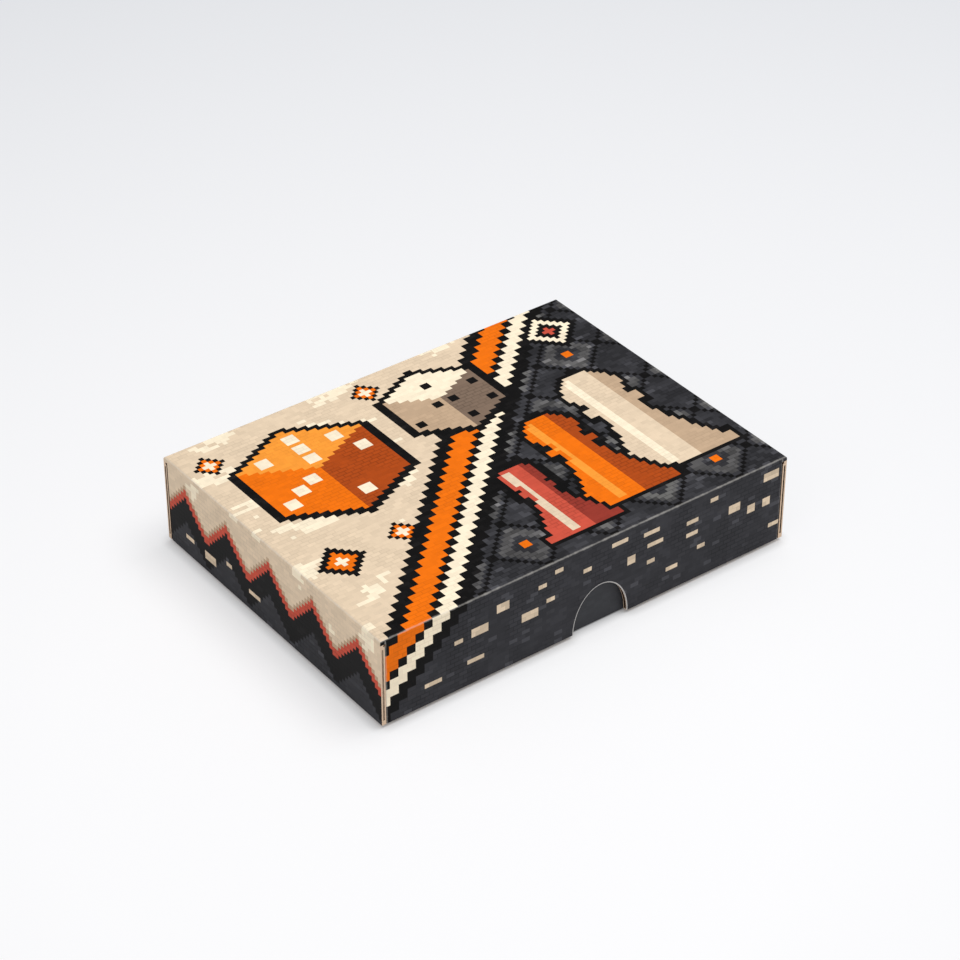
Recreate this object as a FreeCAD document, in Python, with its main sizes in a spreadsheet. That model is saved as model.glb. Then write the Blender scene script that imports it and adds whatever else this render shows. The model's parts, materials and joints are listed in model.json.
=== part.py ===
import FreeCAD, Part

import math
import os

import Sketcher

# A small board game box of thin corrugated board, with its game inside.
# Origin: middle of the underside. +X along the length, +Y to the back, +Z up. Millimetres.

SIZES = {
    # the closed box
    "box_length": 200.0,
    "box_depth": 150.0,
    "box_height": 41.5,
    # the corrugated board and its folds
    "board_thickness": 2.0,
    "liner_thickness": 0.65,
    "crease_radius": 1.2,
    "fold_radius": 0.9,
    "tab_length": 22.0,
    "tab_trim": 3.0,
    # how the lid sits on the base
    "lid_clearance": 0.6,
    "seat_gap": 0.2,
    "rim_gap": 1.5,
    # thumb notch in the lid's front wall
    "notch_width": 26.8,
    "notch_height": 18.8,
    "notch_shift": 5.0,
    # raw edges of the lid board
    "core_recess": 1.2,
    "edge_margin": 2.2,
    "relief_radius": 0.6,
    "flute_pitch": 3.2,
    "flute_thickness": 0.2,
    "flute_setback": 0.3,
    # folded card insert
    "insert_thickness": 0.8,
    "insert_clearance": 0.4,
    "insert_bend": 1.6,
    "finger_radius": 11.0,
    "finger_depth": 9.0,
    "well_clearance": 1.2,
    "top_free": 5.2,
    # dividers
    "divider_thickness": 1.2,
    "divider_clearance": 0.15,
    "divider_drop": 3.0,
    "divider_tab": 8.0,
    "divider_tab_rise": 7.0,
    # folded game board
    "panel_thickness": 1.8,
    "panel_clearance": 1.0,
    "panel_corner": 3.0,
    "cloth_thickness": 0.3,
    "cloth_lap": 9.0,
    # rules booklet
    "booklet_width": 70.0,
    "booklet_length": 100.0,
    "booklet_margin": 8.0,
    "cover_thickness": 0.25,
    "pages_thickness": 0.9,
    # cards
    "card_length": 88.0,
    "card_width": 63.0,
    "card_thickness": 0.32,
    "card_corner": 3.0,
    "band_width": 20.0,
    "band_thickness": 0.16,
    # wooden cars
    "car_length": 24.0,
    "car_width": 10.0,
    "car_height": 11.0,
    "car_sill": 1.6,
    "car_hood": 6.0,
    "car_nose": 4.6,
    "car_roof": 8.5,
    "car_hood_length": 6.5,
    "car_screen_run": 4.5,
    "car_wheel_radius": 2.7,
    "car_wheelbase": 13.0,
    "car_edge": 0.8,
    # dice
    "die_size": 16.0,
    "die_edge": 1.0,
    "pip_radius": 1.35,
    "pip_depth": 0.5,
    "pip_spread": 4.2,
    # punched tokens
    "token_width": 18.0,
    "token_thickness": 1.6,
}

CARDS_IN_DECK = 5
TOKENS_IN_STACK = 5
CAR_COLUMNS = 2
CAR_ROWS = 3
CHIP_SIDES = 6
SAME_PLACE = 1e-4

doc = FreeCAD.newDocument("board_game_box")
sheet = doc.addObject("Spreadsheet::Sheet", "Sizes")
for row, (alias, value) in enumerate(SIZES.items(), start=1):
    sheet.set(f"A{row}", alias)
    sheet.set(f"B{row}", str(value))
    sheet.setAlias(f"B{row}", alias)
doc.recompute()

finished = []


def size(alias):
    """The sheet's cell, as it is written in an expression."""
    return f"Sizes.{alias}"


# Places that follow from the sizes, as expressions.

BOARD = size("board_thickness")
LINER = size("liner_thickness")
LID_BASE = size("rim_gap")
LID_WALL = f"({size('box_height')} - {size('rim_gap')} - {BOARD})"
LID_LEFT = f"(-{size('box_length')} / 2)"
LID_RIGHT = f"({size('box_length')} / 2)"
LID_FRONT = f"(-{size('box_depth')} / 2)"
LID_BACK = f"({size('box_depth')} / 2)"
LID_UNDERSIDE = f"({size('box_height')} - {BOARD})"

BASE_LEFT = f"({LID_LEFT} + 2 * {BOARD} + {size('lid_clearance')})"
BASE_RIGHT = f"({LID_RIGHT} - 2 * {BOARD} - {size('lid_clearance')})"
BASE_FRONT = f"({LID_FRONT} + {BOARD} + {size('lid_clearance')})"
BASE_BACK = f"({LID_BACK} - 2 * {BOARD} - {size('lid_clearance')})"
BASE_RIM = f"({LID_UNDERSIDE} - {size('seat_gap')})"

INNER_LEFT = f"({BASE_LEFT} + 2 * {BOARD})"
INNER_RIGHT = f"({BASE_RIGHT} - 2 * {BOARD})"
INNER_FRONT = f"({BASE_FRONT} + {BOARD})"
INNER_BACK = f"({BASE_BACK} - 2 * {BOARD})"

CARD = size("insert_thickness")
INSERT_LEFT = f"({INNER_LEFT} + {size('insert_clearance')})"
INSERT_RIGHT = f"({INNER_RIGHT} - {size('insert_clearance')})"
INSERT_FRONT = f"({INNER_FRONT} + {size('insert_clearance')})"
INSERT_BACK = f"({INNER_BACK} - {size('insert_clearance')})"

BOOKLET = f"({size('pages_thickness')} + 2 * {size('cover_thickness')})"
PANEL = size("panel_thickness")
PLATFORM = f"({BASE_RIM} - {size('top_free')} - {BOOKLET} - 2 * {PANEL})"

GAP = size("well_clearance")
DIVIDER = size("divider_thickness")
CAR_WELL = f"({CAR_COLUMNS} * ({size('car_length')} + {GAP}) + {GAP})"
DICE_WELL = f"(2 * ({size('die_size')} + {GAP}) + {GAP})"
WELLS = f"max({size('card_length')} + 2 * {GAP}; {CAR_WELL} + {DIVIDER} + {DICE_WELL})"
TROUGH_FLOOR = f"({BOARD} + {CARD})"
TROUGH_RIGHT = f"({INSERT_RIGHT} - {CARD})"
TROUGH_LEFT = f"({TROUGH_RIGHT} - {WELLS})"
CROSS_FRONT = f"({INSERT_FRONT} + {size('card_width')} + 2 * {GAP})"
CROSS_BACK = f"({CROSS_FRONT} + {DIVIDER})"
SHORT_LEFT = f"({TROUGH_LEFT} + {CAR_WELL})"
DIVIDER_TOP = f"({PLATFORM} - {size('divider_drop')})"
TAB_LOW = f"({TROUGH_FLOOR} + {size('divider_tab_rise')})"
TAB_HIGH = f"({TAB_LOW} + {size('divider_tab')})"


# Helpers: outlines, features and the finished pieces.


def new_body(label):
    """An empty body, kept for export under its label."""
    body = doc.addObject("PartDesign::Body", label)
    finished.append(body)
    return body


def open_sketch(body, plane, offset):
    """A sketch on one of the body's own planes, moved along that plane's normal."""
    sketch = body.newObject("Sketcher::SketchObject", "Outline")
    support = [item for item in body.Origin.OriginFeatures if item.Role == plane]
    sketch.AttachmentSupport = (support[0], [""])
    sketch.MapMode = "FlatFace"
    sketch.setExpression("AttachmentOffset.Base.z", offset)
    return sketch


def hold(sketch, geometry, point, across, up):
    """Hold one point of the sketch at a place measured from the sketch's origin."""
    for axis, place in (("DistanceX", across), ("DistanceY", up)):
        held = Sketcher.Constraint(axis, -1, 1, geometry, point, 1.0)
        index = sketch.addConstraint(held)
        sketch.setExpression(f"Constraints[{index}]", place)


def add_polygon(sketch, corners):
    """A closed outline of straight lines with its corners at the given places."""
    first = sketch.GeometryCount
    count = len(corners)
    turn = 2 * math.pi / count
    ring = [FreeCAD.Vector(math.cos(k * turn), math.sin(k * turn), 0) for k in range(count)]
    for k in range(count):
        sketch.addGeometry(Part.LineSegment(ring[k], ring[(k + 1) % count]))
    for k in range(count):
        joined = Sketcher.Constraint("Coincident", first + k, 2, first + (k + 1) % count, 1)
        sketch.addConstraint(joined)
    for k, (across, up) in enumerate(corners):
        hold(sketch, first + k, 1, across, up)


def add_circle(sketch, across, up, radius):
    """A circle held by its middle and its radius."""
    axis = FreeCAD.Vector(0, 0, 1)
    index = sketch.addGeometry(Part.Circle(FreeCAD.Vector(0, 0, 0), axis, 1.0))
    hold(sketch, index, 3, across, up)
    ring = sketch.addConstraint(Sketcher.Constraint("Radius", index, 1.0))
    sketch.setExpression(f"Constraints[{ring}]", radius)


def add_ellipse(sketch, across, up, width, height):
    """An upright ellipse held by its middle, its width and its height."""
    middle = FreeCAD.Vector(0, 0, 0)
    crown = FreeCAD.Vector(0, 2, 0)
    flank = FreeCAD.Vector(1, 0, 0)
    index = sketch.addGeometry(Part.Ellipse(crown, flank, middle))
    sketch.exposeInternalGeometry(index)
    long_axis = index + 1
    short_axis = index + 2
    hold(sketch, index, 3, across, up)
    sketch.addConstraint(Sketcher.Constraint("Vertical", long_axis))
    for axis, length in ((long_axis, height), (short_axis, width)):
        held = sketch.addConstraint(Sketcher.Constraint("Distance", axis, 1.0))
        sketch.setExpression(f"Constraints[{held}]", length)


def rectangle(left, low, right, high):
    """The four corners of an upright rectangle."""
    return [(left, low), (right, low), (right, high), (left, high)]


def polygons(body, plane, offset, outlines):
    """One sketch that holds several closed outlines."""
    sketch = open_sketch(body, plane, offset)
    for corners in outlines:
        add_polygon(sketch, corners)
    return sketch


def circles(body, plane, offset, rings):
    """One sketch that holds several circles."""
    sketch = open_sketch(body, plane, offset)
    for across, up, radius in rings:
        add_circle(sketch, across, up, radius)
    return sketch


def pad(body, sketch, length):
    """Add the outline's material along the sketch's normal."""
    feature = body.newObject("PartDesign::Pad", "Pad")
    feature.Profile = sketch
    feature.setExpression("Length", length)
    doc.recompute()


def pocket(body, sketch, length):
    """Cut the outline out along the sketch's normal, and make sure that something went."""
    before = body.Shape.Volume
    feature = body.newObject("PartDesign::Pocket", "Pocket")
    feature.Profile = sketch
    feature.Reversed = True
    feature.setExpression("Length", length)
    doc.recompute()
    if body.Shape.Volume >= before:
        raise RuntimeError(f"a pocket of {body.Label} cut nothing")


def dress_edges(body, kind, chosen, measure, amount):
    """Dress the edges that the given test picks, as a Fillet by Radius or a Chamfer by Size."""
    base = body.Tip
    box = base.Shape.BoundBox
    picked = [f"Edge{k}" for k, edge in enumerate(base.Shape.Edges, 1) if chosen(edge, box)]
    feature = body.newObject(f"PartDesign::{kind}", kind)
    feature.Base = (base, picked)
    feature.setExpression(measure, amount)
    doc.recompute()


def round_edges(body, chosen, radius):
    dress_edges(body, "Fillet", chosen, "Radius", radius)


def bevel_edges(body, chosen, width):
    dress_edges(body, "Chamfer", chosen, "Size", width)


def near(first, second):
    return abs(first - second) < SAME_PLACE


def upright(edge):
    """True for a straight edge along Z."""
    box = edge.BoundBox
    return near(box.XMin, box.XMax) and near(box.YMin, box.YMax)


# The two trays, lid and base, come from the same kind of blank.


def folded_walls(body, left, right, front, back, low, height):
    """Four walls as the blank folds them. The front wall's tabs go inside the side walls, and the
    side walls' rear tabs go inside the back wall, so raw board edges show at every corner."""
    tab = size("tab_length")
    left_in = f"{left} + {BOARD}"
    right_in = f"{right} - {BOARD}"
    left_tab = f"{left} + 2 * {BOARD}"
    right_tab = f"{right} - 2 * {BOARD}"
    tab_end = f"{front} + {tab}"
    front_in = f"{front} + {BOARD}"
    back_in = f"{back} - {BOARD}"
    back_tab = f"{back} - 2 * {BOARD}"

    front_wall = [
        (left_in, front),
        (right_in, front),
        (right_in, tab_end),
        (right_tab, tab_end),
        (right_tab, front_in),
        (left_tab, front_in),
        (left_tab, tab_end),
        (left_in, tab_end),
    ]
    pad(body, polygons(body, "XY_Plane", low, [front_wall]), height)

    def front_fold(edge, box):
        ends = near(edge.BoundBox.XMin, box.XMin) or near(edge.BoundBox.XMax, box.XMax)
        return upright(edge) and ends and near(edge.BoundBox.YMin, box.YMin)

    round_edges(body, front_fold, size("fold_radius"))

    left_wall = [
        (left, front),
        (left_in, front),
        (left_in, back_tab),
        (f"{left} + {tab}", back_tab),
        (f"{left} + {tab}", back_in),
        (left, back_in),
    ]
    right_wall = [
        (right_in, front),
        (right, front),
        (right, back_in),
        (f"{right} - {tab}", back_in),
        (f"{right} - {tab}", back_tab),
        (right_in, back_tab),
    ]
    pad(body, polygons(body, "XY_Plane", low, [left_wall, right_wall]), height)

    def rear_fold(edge, box):
        ends = near(edge.BoundBox.XMin, box.XMin) or near(edge.BoundBox.XMax, box.XMax)
        return upright(edge) and ends and near(edge.BoundBox.YMax, box.YMax)

    round_edges(body, rear_fold, size("fold_radius"))
    back_wall = rectangle(left, back_in, right, back)
    pad(body, polygons(body, "XY_Plane", low, [back_wall]), height)


def trim_tabs(body, left, right, front, back, low):
    """Set the glued tabs back from the rim."""
    tab = size("tab_length")
    outlines = [
        rectangle(f"{left} + {BOARD}", f"{front} + {BOARD}", f"{left} + 2 * {BOARD}", f"{front} + {tab}"),
        rectangle(f"{right} - 2 * {BOARD}", f"{front} + {BOARD}", f"{right} - {BOARD}", f"{front} + {tab}"),
        rectangle(f"{left} + {BOARD}", f"{back} - 2 * {BOARD}", f"{left} + {tab}", f"{back} - {BOARD}"),
        rectangle(f"{right} - {tab}", f"{back} - 2 * {BOARD}", f"{right} - {BOARD}", f"{back} - {BOARD}"),
    ]
    pocket(body, polygons(body, "XY_Plane", low, outlines), size("tab_trim"))


def make_lid():
    """The lid: top panel, four walls, thumb notch, and recessed cores at the raw edges."""
    body = new_body("lid_board")
    folded_walls(body, LID_LEFT, LID_RIGHT, LID_FRONT, LID_BACK, LID_BASE, LID_WALL)
    panel = rectangle(LID_LEFT, LID_FRONT, LID_RIGHT, LID_BACK)
    pad(body, polygons(body, "XY_Plane", LID_UNDERSIDE, [panel]), BOARD)

    def top_crease(edge, box):
        return near(edge.BoundBox.ZMin, box.ZMax)

    round_edges(body, top_crease, size("crease_radius"))
    trim_tabs(body, LID_LEFT, LID_RIGHT, LID_FRONT, LID_BACK, LID_BASE)

    # the thumb notch: half an ellipse that stands on the rim
    wall = f"{size('box_depth')} / 2 - {BOARD} - {size('lid_clearance')} / 2"
    depth = f"{BOARD} + {size('lid_clearance')}"
    notch = open_sketch(body, "XZ_Plane", wall)
    whole_height = f"2 * {size('notch_height')}"
    add_ellipse(notch, size("notch_shift"), LID_BASE, size("notch_width"), whole_height)
    pocket(body, notch, depth)

    # between the two liners the wavy core stands back from the raw edges
    low = f"{LID_BASE} + {size('edge_margin')}"
    high = f"{LID_UNDERSIDE} - {size('edge_margin')}"
    front_edges = [
        rectangle(f"{LID_LEFT} + {LINER}", low, f"{LID_LEFT} + {BOARD} - {LINER}", high),
        rectangle(f"{LID_RIGHT} - {BOARD} + {LINER}", low, f"{LID_RIGHT} - {LINER}", high),
    ]
    front_start = f"{size('box_depth')} / 2 - {size('core_recess')}"
    pocket(body, polygons(body, "XZ_Plane", front_start, front_edges), size("core_recess"))
    back_edge = rectangle(f"{LID_BACK} - {BOARD} + {LINER}", low, f"{LID_BACK} - {LINER}", high)
    for start in (LID_LEFT, f"{LID_RIGHT} - {size('core_recess')}"):
        pocket(body, polygons(body, "YZ_Plane", start, [back_edge]), size("core_recess"))

    # small relief holes where two creases meet
    hole = size("relief_radius")
    level = f"{LID_UNDERSIDE} - {hole}"
    front_holes = [
        (f"{LID_LEFT} + {BOARD}", level, hole),
        (f"{LID_RIGHT} - {BOARD}", level, hole),
    ]
    hole_start = f"{size('box_depth')} / 2 - {BOARD}"
    pocket(body, circles(body, "XZ_Plane", hole_start, front_holes), BOARD)
    back_hole = (f"{LID_BACK} - {BOARD}", level, hole)
    for start in (LID_LEFT, f"{LID_RIGHT} - {BOARD}"):
        pocket(body, circles(body, "YZ_Plane", start, [back_hole]), BOARD)


def wave_outline(pitch, reach, thickness, crests):
    """A fluted ribbon seen end on, in X and Z. Its crests lie flat on one liner and the other in
    turn, reach away from the middle, and straight flanks of the same height join them."""
    crest = pitch / 4
    lean = math.atan2(2 * reach, crest)
    mitre = thickness / 2 * math.tan(lean / 2)

    def side(way):
        points = []
        for k in range(crests):
            swing = 1 if k % 2 == 0 else -1
            low = k * pitch / 2
            x = swing * reach + way * thickness / 2
            points.append(FreeCAD.Vector(x, 0, low - swing * way * mitre))
            points.append(FreeCAD.Vector(x, 0, low + crest + swing * way * mitre))
        return points

    ring = side(1) + side(-1)[::-1]
    return Part.Face(Part.makePolygon(ring + ring[:1]))


def make_fluting():
    """The wavy core paper that shows in the lid's four raw edges."""
    board = sheet.board_thickness
    liner = sheet.liner_thickness
    low = sheet.rim_gap + sheet.edge_margin
    high = sheet.box_height - board - sheet.edge_margin
    reach = (board - 2 * liner - sheet.flute_thickness) / 2
    crests = int((high - low) / (sheet.flute_pitch / 2))
    start = low + (high - low - (crests - 0.5) * sheet.flute_pitch / 2) / 2
    face = wave_outline(sheet.flute_pitch, reach, sheet.flute_thickness, crests)
    ribbon = face.extrude(FreeCAD.Vector(0, sheet.core_recess - sheet.flute_setback, 0))
    ribbon.translate(FreeCAD.Vector(0, sheet.flute_setback, start))

    # each ribbon starts at a raw edge and runs into the board: (x, y, turn about Z)
    side = sheet.box_length / 2
    depth = sheet.box_depth / 2
    edges = (
        (-side + board / 2, -depth, 0),
        (side - board / 2, -depth, 0),
        (-side, depth - board / 2, -90),
        (side, depth - board / 2, 90),
    )
    ribbons = []
    for x, y, turn in edges:
        copy = ribbon.copy()
        copy.Placement = FreeCAD.Placement(
            FreeCAD.Vector(x, y, 0), FreeCAD.Rotation(FreeCAD.Vector(0, 0, 1), turn)
        ).multiply(copy.Placement)
        ribbons.append(copy)
    feature = doc.addObject("Part::Feature", "lid_fluting")
    feature.Shape = Part.makeCompound(ribbons)
    finished.append(feature)


def make_base():
    """The tray under the lid, with the same folds and its panel underneath."""
    body = new_body("base_board")
    wall = f"{BASE_RIM} - {BOARD}"
    folded_walls(body, BASE_LEFT, BASE_RIGHT, BASE_FRONT, BASE_BACK, BOARD, wall)
    panel = rectangle(BASE_LEFT, BASE_FRONT, BASE_RIGHT, BASE_BACK)
    pad(body, polygons(body, "XY_Plane", "0", [panel]), BOARD)

    def bottom_crease(edge, box):
        return near(edge.BoundBox.ZMax, box.ZMin)

    round_edges(body, bottom_crease, size("crease_radius"))
    trim_start = f"{BASE_RIM} - {size('tab_trim')}"
    trim_tabs(body, BASE_LEFT, BASE_RIGHT, BASE_FRONT, BASE_BACK, trim_start)


# The insert and what stands in it.


def pad_through(body, corners, front, back):
    """A profile in X and Z, run from front to back."""
    pad(body, polygons(body, "XZ_Plane", f"-({back})", [corners]), f"{back} - {front}")


def make_insert():
    """One folded card: left leg, platform, riser, trough floor and right leg."""
    body = new_body("insert_tray")
    riser = f"{TROUGH_LEFT} - {CARD}"
    ceiling = f"{PLATFORM} - {CARD}"
    leg = f"{INSERT_LEFT} + {CARD}"
    profile = [
        (INSERT_LEFT, BOARD),
        (leg, BOARD),
        (leg, ceiling),
        (riser, ceiling),
        (riser, BOARD),
        (INSERT_RIGHT, BOARD),
        (INSERT_RIGHT, PLATFORM),
        (TROUGH_RIGHT, PLATFORM),
        (TROUGH_RIGHT, TROUGH_FLOOR),
        (TROUGH_LEFT, TROUGH_FLOOR),
        (TROUGH_LEFT, PLATFORM),
        (INSERT_LEFT, PLATFORM),
    ]
    pad_through(body, profile, INSERT_FRONT, INSERT_BACK)

    def bends(outside):
        def chosen(edge, box):
            middle = edge.CenterOfMass
            along = near(edge.BoundBox.XMin, edge.BoundBox.XMax) and near(
                edge.BoundBox.ZMin, edge.BoundBox.ZMax
            )
            floor = sheet.board_thickness
            thick = sheet.insert_thickness
            top = near(middle.z, box.ZMax if outside else box.ZMax - thick)
            bottom = near(middle.z, floor if outside else floor + thick)
            left = near(middle.x, box.XMin if outside else box.XMin + thick)
            right = near(middle.x, box.XMax if outside else box.XMax - thick)
            between = box.XMin + 2 * thick < middle.x < box.XMax - 2 * thick
            upper = top and (left or between)
            lower = bottom and (right or between)
            return along and (upper or lower)

        return chosen

    round_edges(body, bends(True), size("insert_bend"))
    round_edges(body, bends(False), f"{size('insert_bend')} - {CARD}")

    # finger cut at the platform's edge beside the cards, half round from above, to lift the board
    middle = f"({INSERT_FRONT} + {CROSS_FRONT}) / 2"
    start = f"{PLATFORM} - {size('finger_depth')}"
    finger = [(riser, middle, size("finger_radius"))]
    pocket(body, circles(body, "XY_Plane", start, finger), size("finger_depth"))

    # slots that take the cross divider's tabs
    room = size("divider_clearance")
    slot = rectangle(
        f"{CROSS_FRONT} - {room}", f"{TAB_LOW} - {room}", f"{CROSS_BACK} + {room}", f"{TAB_HIGH} + {room}"
    )
    for start in (riser, TROUGH_RIGHT):
        pocket(body, polygons(body, "YZ_Plane", start, [slot]), CARD)


def make_dividers():
    """Two card walls: one across the trough, one behind it, each held by tabs in slots."""
    room = size("divider_clearance")
    low = TROUGH_FLOOR
    left = f"{TROUGH_LEFT} + {room}"
    right = f"{TROUGH_RIGHT} - {room}"
    left_tab = f"{TROUGH_LEFT} - {CARD}"
    right_tab = f"{TROUGH_RIGHT} + {CARD}"
    bend = size("insert_bend")

    cross = new_body("insert_cross_divider")
    outline = [
        (f"{left} + {bend}", low),
        (f"{right} - {bend}", low),
        (right, f"{low} + {bend}"),
        (right, TAB_LOW),
        (right_tab, TAB_LOW),
        (right_tab, TAB_HIGH),
        (right, TAB_HIGH),
        (right, DIVIDER_TOP),
        (left, DIVIDER_TOP),
        (left, TAB_HIGH),
        (left_tab, TAB_HIGH),
        (left_tab, TAB_LOW),
        (left, TAB_LOW),
        (left, f"{low} + {bend}"),
    ]
    pad_through(cross, outline, CROSS_FRONT, CROSS_BACK)
    slot = rectangle(
        f"{SHORT_LEFT} - {room}",
        f"{TAB_LOW} - {room}",
        f"{SHORT_LEFT} + {DIVIDER} + {room}",
        f"{TAB_HIGH} + {room}",
    )
    pocket(cross, polygons(cross, "XZ_Plane", f"-({CROSS_BACK})", [slot]), DIVIDER)

    short = new_body("insert_short_divider")
    start = f"{CROSS_BACK} + {room}"
    outline = [
        (start, low),
        (INSERT_BACK, low),
        (INSERT_BACK, DIVIDER_TOP),
        (start, DIVIDER_TOP),
        (start, TAB_HIGH),
        (CROSS_FRONT, TAB_HIGH),
        (CROSS_FRONT, TAB_LOW),
        (start, TAB_LOW),
    ]
    pad(short, polygons(short, "YZ_Plane", SHORT_LEFT, [outline]), DIVIDER)


# The folded game board and the rules.


def make_game_board():
    """Two stiff halves folded face to face, joined on the left by a cloth hinge let in flush."""
    cloth = size("cloth_thickness")
    left = f"({INSERT_LEFT} + {size('panel_clearance')})"
    right = f"({TROUGH_LEFT} - {size('panel_clearance')})"
    front = f"({INNER_FRONT} + {size('panel_clearance')})"
    back = f"({INNER_BACK} - {size('panel_clearance')})"
    lap = f"{left} + {size('cloth_lap')}"
    low = PLATFORM
    fold = f"{PLATFORM} + {PANEL}"
    high = f"{PLATFORM} + 2 * {PANEL}"

    def far_corner(edge, box):
        return upright(edge) and near(edge.BoundBox.XMax, box.XMax)

    lower = new_body("game_board_lower")
    step = [(left, f"{low} + {cloth}"), (lap, f"{low} + {cloth}"), (lap, low)]
    pad_through(lower, step + [(right, low), (right, fold), (left, fold)], front, back)
    round_edges(lower, far_corner, size("panel_corner"))

    upper = new_body("game_board_upper")
    step = [(lap, high), (lap, f"{high} - {cloth}"), (left, f"{high} - {cloth}")]
    pad_through(upper, [(left, fold), (right, fold), (right, high)] + step, front, back)
    round_edges(upper, far_corner, size("panel_corner"))

    spine = new_body("game_board_spine")
    outer = f"{left} - {cloth}"
    profile = [
        (outer, low),
        (lap, low),
        (lap, f"{low} + {cloth}"),
        (left, f"{low} + {cloth}"),
        (left, f"{high} - {cloth}"),
        (lap, f"{high} - {cloth}"),
        (lap, high),
        (outer, high),
    ]
    pad_through(spine, profile, front, back)


def make_rules():
    """A thin booklet on the game board: folded cover round a block of pages."""
    margin = size("booklet_margin")
    left = f"({INSERT_LEFT} + {margin})"
    right = f"({left} + {size('booklet_width')})"
    front = f"({INNER_FRONT} + {margin})"
    back = f"({front} + {size('booklet_length')})"
    low = f"({PLATFORM} + 2 * {PANEL})"
    high = f"({low} + {BOOKLET})"
    paper = size("cover_thickness")
    profile = [
        (left, low),
        (right, low),
        (right, f"{low} + {paper}"),
        (f"{left} + {paper}", f"{low} + {paper}"),
        (f"{left} + {paper}", f"{high} - {paper}"),
        (right, f"{high} - {paper}"),
        (right, high),
        (left, high),
    ]
    pad_through(new_body("rules_cover"), profile, front, back)
    block = rectangle(f"{left} + {paper}", f"{low} + {paper}", right, f"{high} - {paper}")
    pad_through(new_body("rules_pages"), block, front, back)


# Cards, cars, dice and tokens.


def make_deck(label, start):
    """A pack of separate cards in a paper band."""
    band = size("band_thickness")
    middle_x = f"({TROUGH_LEFT} + {TROUGH_RIGHT}) / 2"
    middle_y = f"({INSERT_FRONT} + {GAP} + {size('card_width')} / 2)"
    cards = []
    for k in range(CARDS_IN_DECK):
        card = doc.addObject("Part::Box", "Card")
        card.setExpression("Length", size("card_length"))
        card.setExpression("Width", size("card_width"))
        card.setExpression("Height", size("card_thickness"))
        card.setExpression("Placement.Base.x", f"{middle_x} - {size('card_length')} / 2")
        card.setExpression("Placement.Base.y", f"{middle_y} - {size('card_width')} / 2")
        card.setExpression("Placement.Base.z", f"{start} + {band} + {k} * {size('card_thickness')}")
        doc.recompute()
        corners = [n for n, edge in enumerate(card.Shape.Edges, 1) if upright(edge)]
        rounded = doc.addObject("Part::Fillet", "RoundedCard")
        rounded.Base = card
        rounded.Edges = [(n, sheet.card_corner, sheet.card_corner) for n in corners]
        cards.append(rounded)
    deck = doc.addObject("Part::Compound", f"card_deck_{label}")
    deck.Links = cards
    finished.append(deck)

    loop = new_body(f"card_band_{label}")
    stack = f"{CARDS_IN_DECK} * {size('card_thickness')}"
    half = f"{size('card_width')} / 2"
    inner = rectangle(
        f"{middle_y} - {half}", f"{start} + {band}", f"{middle_y} + {half}", f"{start} + {band} + {stack}"
    )
    outer = rectangle(
        f"{middle_y} - {half} - {band}",
        start,
        f"{middle_y} + {half} + {band}",
        f"{start} + 2 * {band} + {stack}",
    )
    side = f"{middle_x} - {size('band_width')} / 2"
    pad(loop, polygons(loop, "YZ_Plane", side, [outer, inner]), size("band_width"))


def make_car(number, middle_x, front):
    """A wooden car cut from one block: a stepped side with two wheels, on its wheels."""
    body = new_body(f"car_pawn_{number}")
    rear = f"({middle_x} - {size('car_length')} / 2)"
    nose = f"({middle_x} + {size('car_length')} / 2)"
    screen = f"({nose} - {size('car_hood_length')})"
    roof_front = f"({screen} - {size('car_screen_run')})"
    roof_rear = f"({roof_front} - {size('car_roof')})"
    ground = TROUGH_FLOOR
    side = [
        (rear, f"{ground} + {size('car_sill')}"),
        (nose, f"{ground} + {size('car_sill')}"),
        (nose, f"{ground} + {size('car_nose')}"),
        (screen, f"{ground} + {size('car_hood')}"),
        (roof_front, f"{ground} + {size('car_height')}"),
        (roof_rear, f"{ground} + {size('car_height')}"),
        (rear, f"{ground} + {size('car_hood')}"),
    ]
    back = f"({front} + {size('car_width')})"
    pad_through(body, side, front, back)

    def across(edge, box):
        return near(edge.BoundBox.XMin, edge.BoundBox.XMax) and near(edge.BoundBox.ZMin, edge.BoundBox.ZMax)

    bevel_edges(body, across, size("car_edge"))
    axle = f"{ground} + {size('car_wheel_radius')}"
    reach = f"{size('car_wheelbase')} / 2"
    wheels = [
        (f"{middle_x} - {reach}", axle, size("car_wheel_radius")),
        (f"{middle_x} + {reach}", axle, size("car_wheel_radius")),
    ]
    pad(body, circles(body, "XZ_Plane", f"-({back})", wheels), size("car_width"))


# Where the pips lie on each face, in steps of the pip spread. Opposite faces add up to seven.
PIPS = {
    1: [(0, 0)],
    2: [(-1, -1), (1, 1)],
    3: [(-1, -1), (0, 0), (1, 1)],
    4: [(-1, -1), (-1, 1), (1, -1), (1, 1)],
    5: [(-1, -1), (-1, 1), (0, 0), (1, -1), (1, 1)],
    6: [(-1, -1), (-1, 0), (-1, 1), (1, -1), (1, 0), (1, 1)],
}
# Each face by its outward normal and the two directions that its pips are laid out along.
FACES = {
    1: ((0, 0, 1), (1, 0, 0), (0, 1, 0)),
    6: ((0, 0, -1), (1, 0, 0), (0, 1, 0)),
    2: ((0, -1, 0), (1, 0, 0), (0, 0, 1)),
    5: ((0, 1, 0), (1, 0, 0), (0, 0, 1)),
    3: ((1, 0, 0), (0, 1, 0), (0, 0, 1)),
    4: ((-1, 0, 0), (0, 1, 0), (0, 0, 1)),
}


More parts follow.
